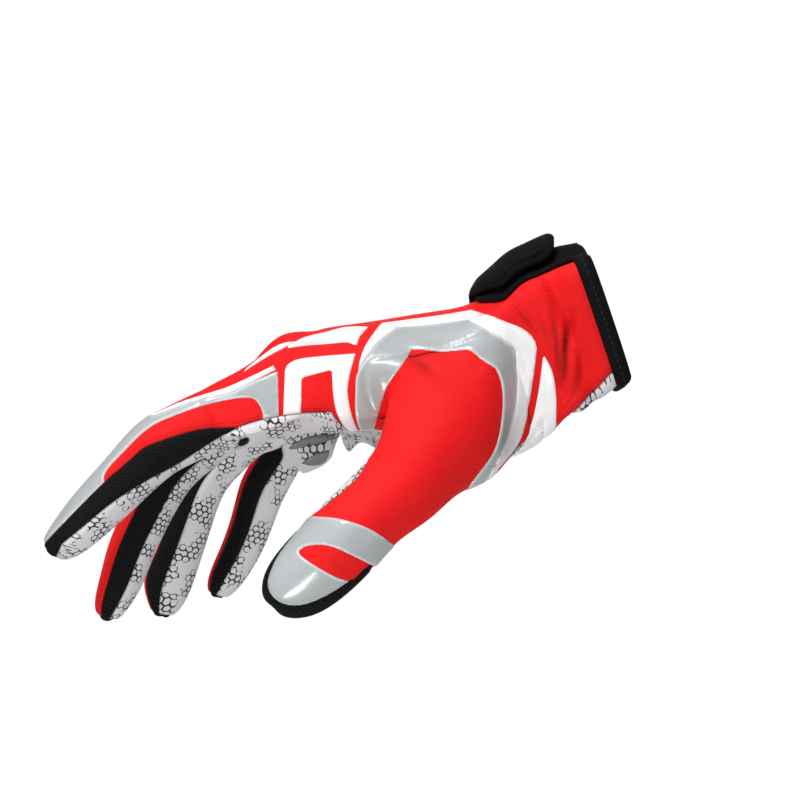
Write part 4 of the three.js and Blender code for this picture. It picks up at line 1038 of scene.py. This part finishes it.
# The pads are rectangles seen from above: inset from the cuff's edge, length along the arm, and width or
# reach across it. lean cuts their near side back beyond leanFrom, and lowest is how far down they go.
patch = {"inset": 4.6 * mm, "length": 37.5 * mm, "width": 46 * mm, "thickness": 1.5 * mm, "corner": 3 * mm,
         "rounding": 0.9 * mm, "lift": 0.2 * mm}
strap = {"inset": 14.5 * mm, "length": 28.8 * mm, "reach": 20 * mm, "thickness": 4 * mm, "taper": 6 * mm,
         "thinned": 0.3, "lift": 1.6 * mm, "corner": 5 * mm, "rounding": 2.0 * mm, "gap": 0.35 * mm}
pad = {"lean": 0.7, "leanFrom": 29 * mm, "lowest": -13 * mm, "seamMargin": 0.2 * mm}


# The distance to a rectangle with rounded corners, less than 0 inside it
def roundedRectangle(spots, left, right, near, far, corner):
    centre = np.array(((left + right) / 2, (near + far) / 2))
    half = np.array(((right - left) / 2 - corner, (far - near) / 2 - corner))
    over = np.abs(spots - centre) - half
    return np.linalg.norm(np.maximum(over, 0), axis=1) + np.minimum(over.max(1), 0) - corner


def smoothStep(value, low, high):
    t = np.clip((value - low) / (high - low), 0, 1)
    return t * t * (3 - 2 * t)


def addPad(name, replaced, field, under, thickness, rounding):  # a thick cloth piece on the cuff
    fields = [np.maximum(field, pad["lowest"] - basePoints[:, 2]),
              pad["seamMargin"] - distanceFromOthers(("back_panel",))]
    spots, normals, inset, triangles = clothPart(("back_panel",), fields, baseNormals, basePoints)
    share = np.clip(inset / rounding, 0, 1)
    bulge = np.sqrt(1 - (1 - share) ** 2)
    base, thick = under(spots), thickness(spots)
    top = spots + normals * (base + thick * (0.5 + 0.5 * bulge))[:, None]
    bottom = spots + normals * (base + thick * (0.5 - 0.5 * bulge))[:, None]
    addPiece(name, *closed(top, bottom, triangles), "felt", "fastener", (replaced,))


padSpots = basePoints[:, :2].copy()
padSpots[:, 1] -= pad["lean"] * np.maximum(-padSpots[:, 0] - pad["leanFrom"], 0) * (padSpots[:, 1] < 0)
patchField = roundedRectangle(padSpots, -patch["inset"] - patch["length"], -patch["inset"],
                              -patch["width"] / 2, patch["width"] / 2, patch["corner"])
addPad("patch_felt", "closure_patch", patchField, lambda spots: np.full(len(spots), patch["lift"]),
       lambda spots: np.full(len(spots), patch["thickness"]), patch["rounding"])

strapEnd = -strap["inset"] - strap["length"]
strapField = roundedRectangle(padSpots, strapEnd, -strap["inset"], -strap["reach"], hand["palmWidth"] / 2,
                              strap["corner"])


def strapUnder(spots):  # the strap's loose end rises off the patch
    alongArm = smoothStep(spots[:, 0], strapEnd, -strap["inset"] - strap["taper"])
    across = 1 - smoothStep(spots[:, 1], -strap["reach"], strap["reach"])
    return patch["lift"] + patch["thickness"] + strap["gap"] + strap["lift"] * alongArm * across


def strapThick(spots):
    full = smoothStep(spots[:, 0], strapEnd - strap["taper"] / 3, strapEnd + strap["taper"])
    return strap["thickness"] * (strap["thinned"] + (1 - strap["thinned"]) * full)


addPad("strap_felt", "wrist_strap", strapField, strapUnder, strapThick, strap["rounding"])
print("patch and strap")

view = {"camera": (-0.068, -1.2, -0.0289), "distance": 1.2, "field": 272 * mm, "sensor": 36}

cameraData = bpy.data.cameras.new("camera")
cameraData.sensor_width = view["sensor"]
cameraData.lens = view["sensor"] * view["distance"] / view["field"]
camera = addObject("camera", cameraData, view["camera"])
camera.rotation_euler = (math.pi / 2, 0, 0)
bpy.context.scene.camera = camera

studio = {"behind": 1.0, "around": 0.34, "dim": 0.85, "key": 0.8, "keyPlace": (-0.2, -0.45, 0.87),
          "aim": (-0.08, 0, -0.03), "floor": -0.3, "floorReach": 1.1}


def dressWorld():  # white behind the glove, dim round the camera and bright from the upper left
    sky = Shade(bpy.data.worlds.new("studio"))
    x, y, z = sky.split(sky.node("TexCoord", {}, "Generated"))
    kx, ky, kz = studio["keyPlace"]
    toKey = sky.math("MAXIMUM", x * kx + y * ky + z * kz, 0.0)
    around = (1 - sky.smooth(x, -0.3, 0.6) * studio["dim"]) * studio["around"]
    front = toKey * toKey * toKey * studio["key"] + around
    behind = sky.smooth(y, 0.8, 0.95)
    strength = front * (1 - behind) + behind * studio["behind"]
    light = sky.node("Background", {"Color": (1, 1, 1, 1), "Strength": strength}, "Background")
    sky.node("OutputWorld", {"Surface": light}, None)
    bpy.context.scene.world = sky.owner


dressWorld()
bpy.context.scene.view_settings.view_transform = "Standard"

lights = [  # place, size, power
    ((-0.3, -0.55, 0.95), 0.2, 9),
    ((0.6, -0.4, -0.14), 0.3, 0.7),
    ((-0.18, -0.42, -0.27), 0.15, 0.9),
]
for i, (place, size, power) in enumerate(lights):
    data = bpy.data.lights.new(f"softLight{i}", "AREA")
    data.size, data.energy = size, power
    light = addObject(f"softLight{i}", data, place)
    light.rotation_euler = (Vector(studio["aim"]) - Vector(place)).to_track_quat("-Z", "Y").to_euler()

floorMesh = bpy.data.meshes.new("floor")
reach = studio["floorReach"]
floorMesh.from_pydata([(-reach, -reach, 0), (reach, -reach, 0), (reach, reach, 0), (-reach, reach, 0)], [],
                      [(0, 1, 2, 3)])
floorMesh.materials.append(newMaterial("floorPaint").surface((0.6, 0.6, 0.6, 1), 0.9))
addObject("floor", floorMesh, (0, 0, studio["floor"]))
print("camera, lights and floor")
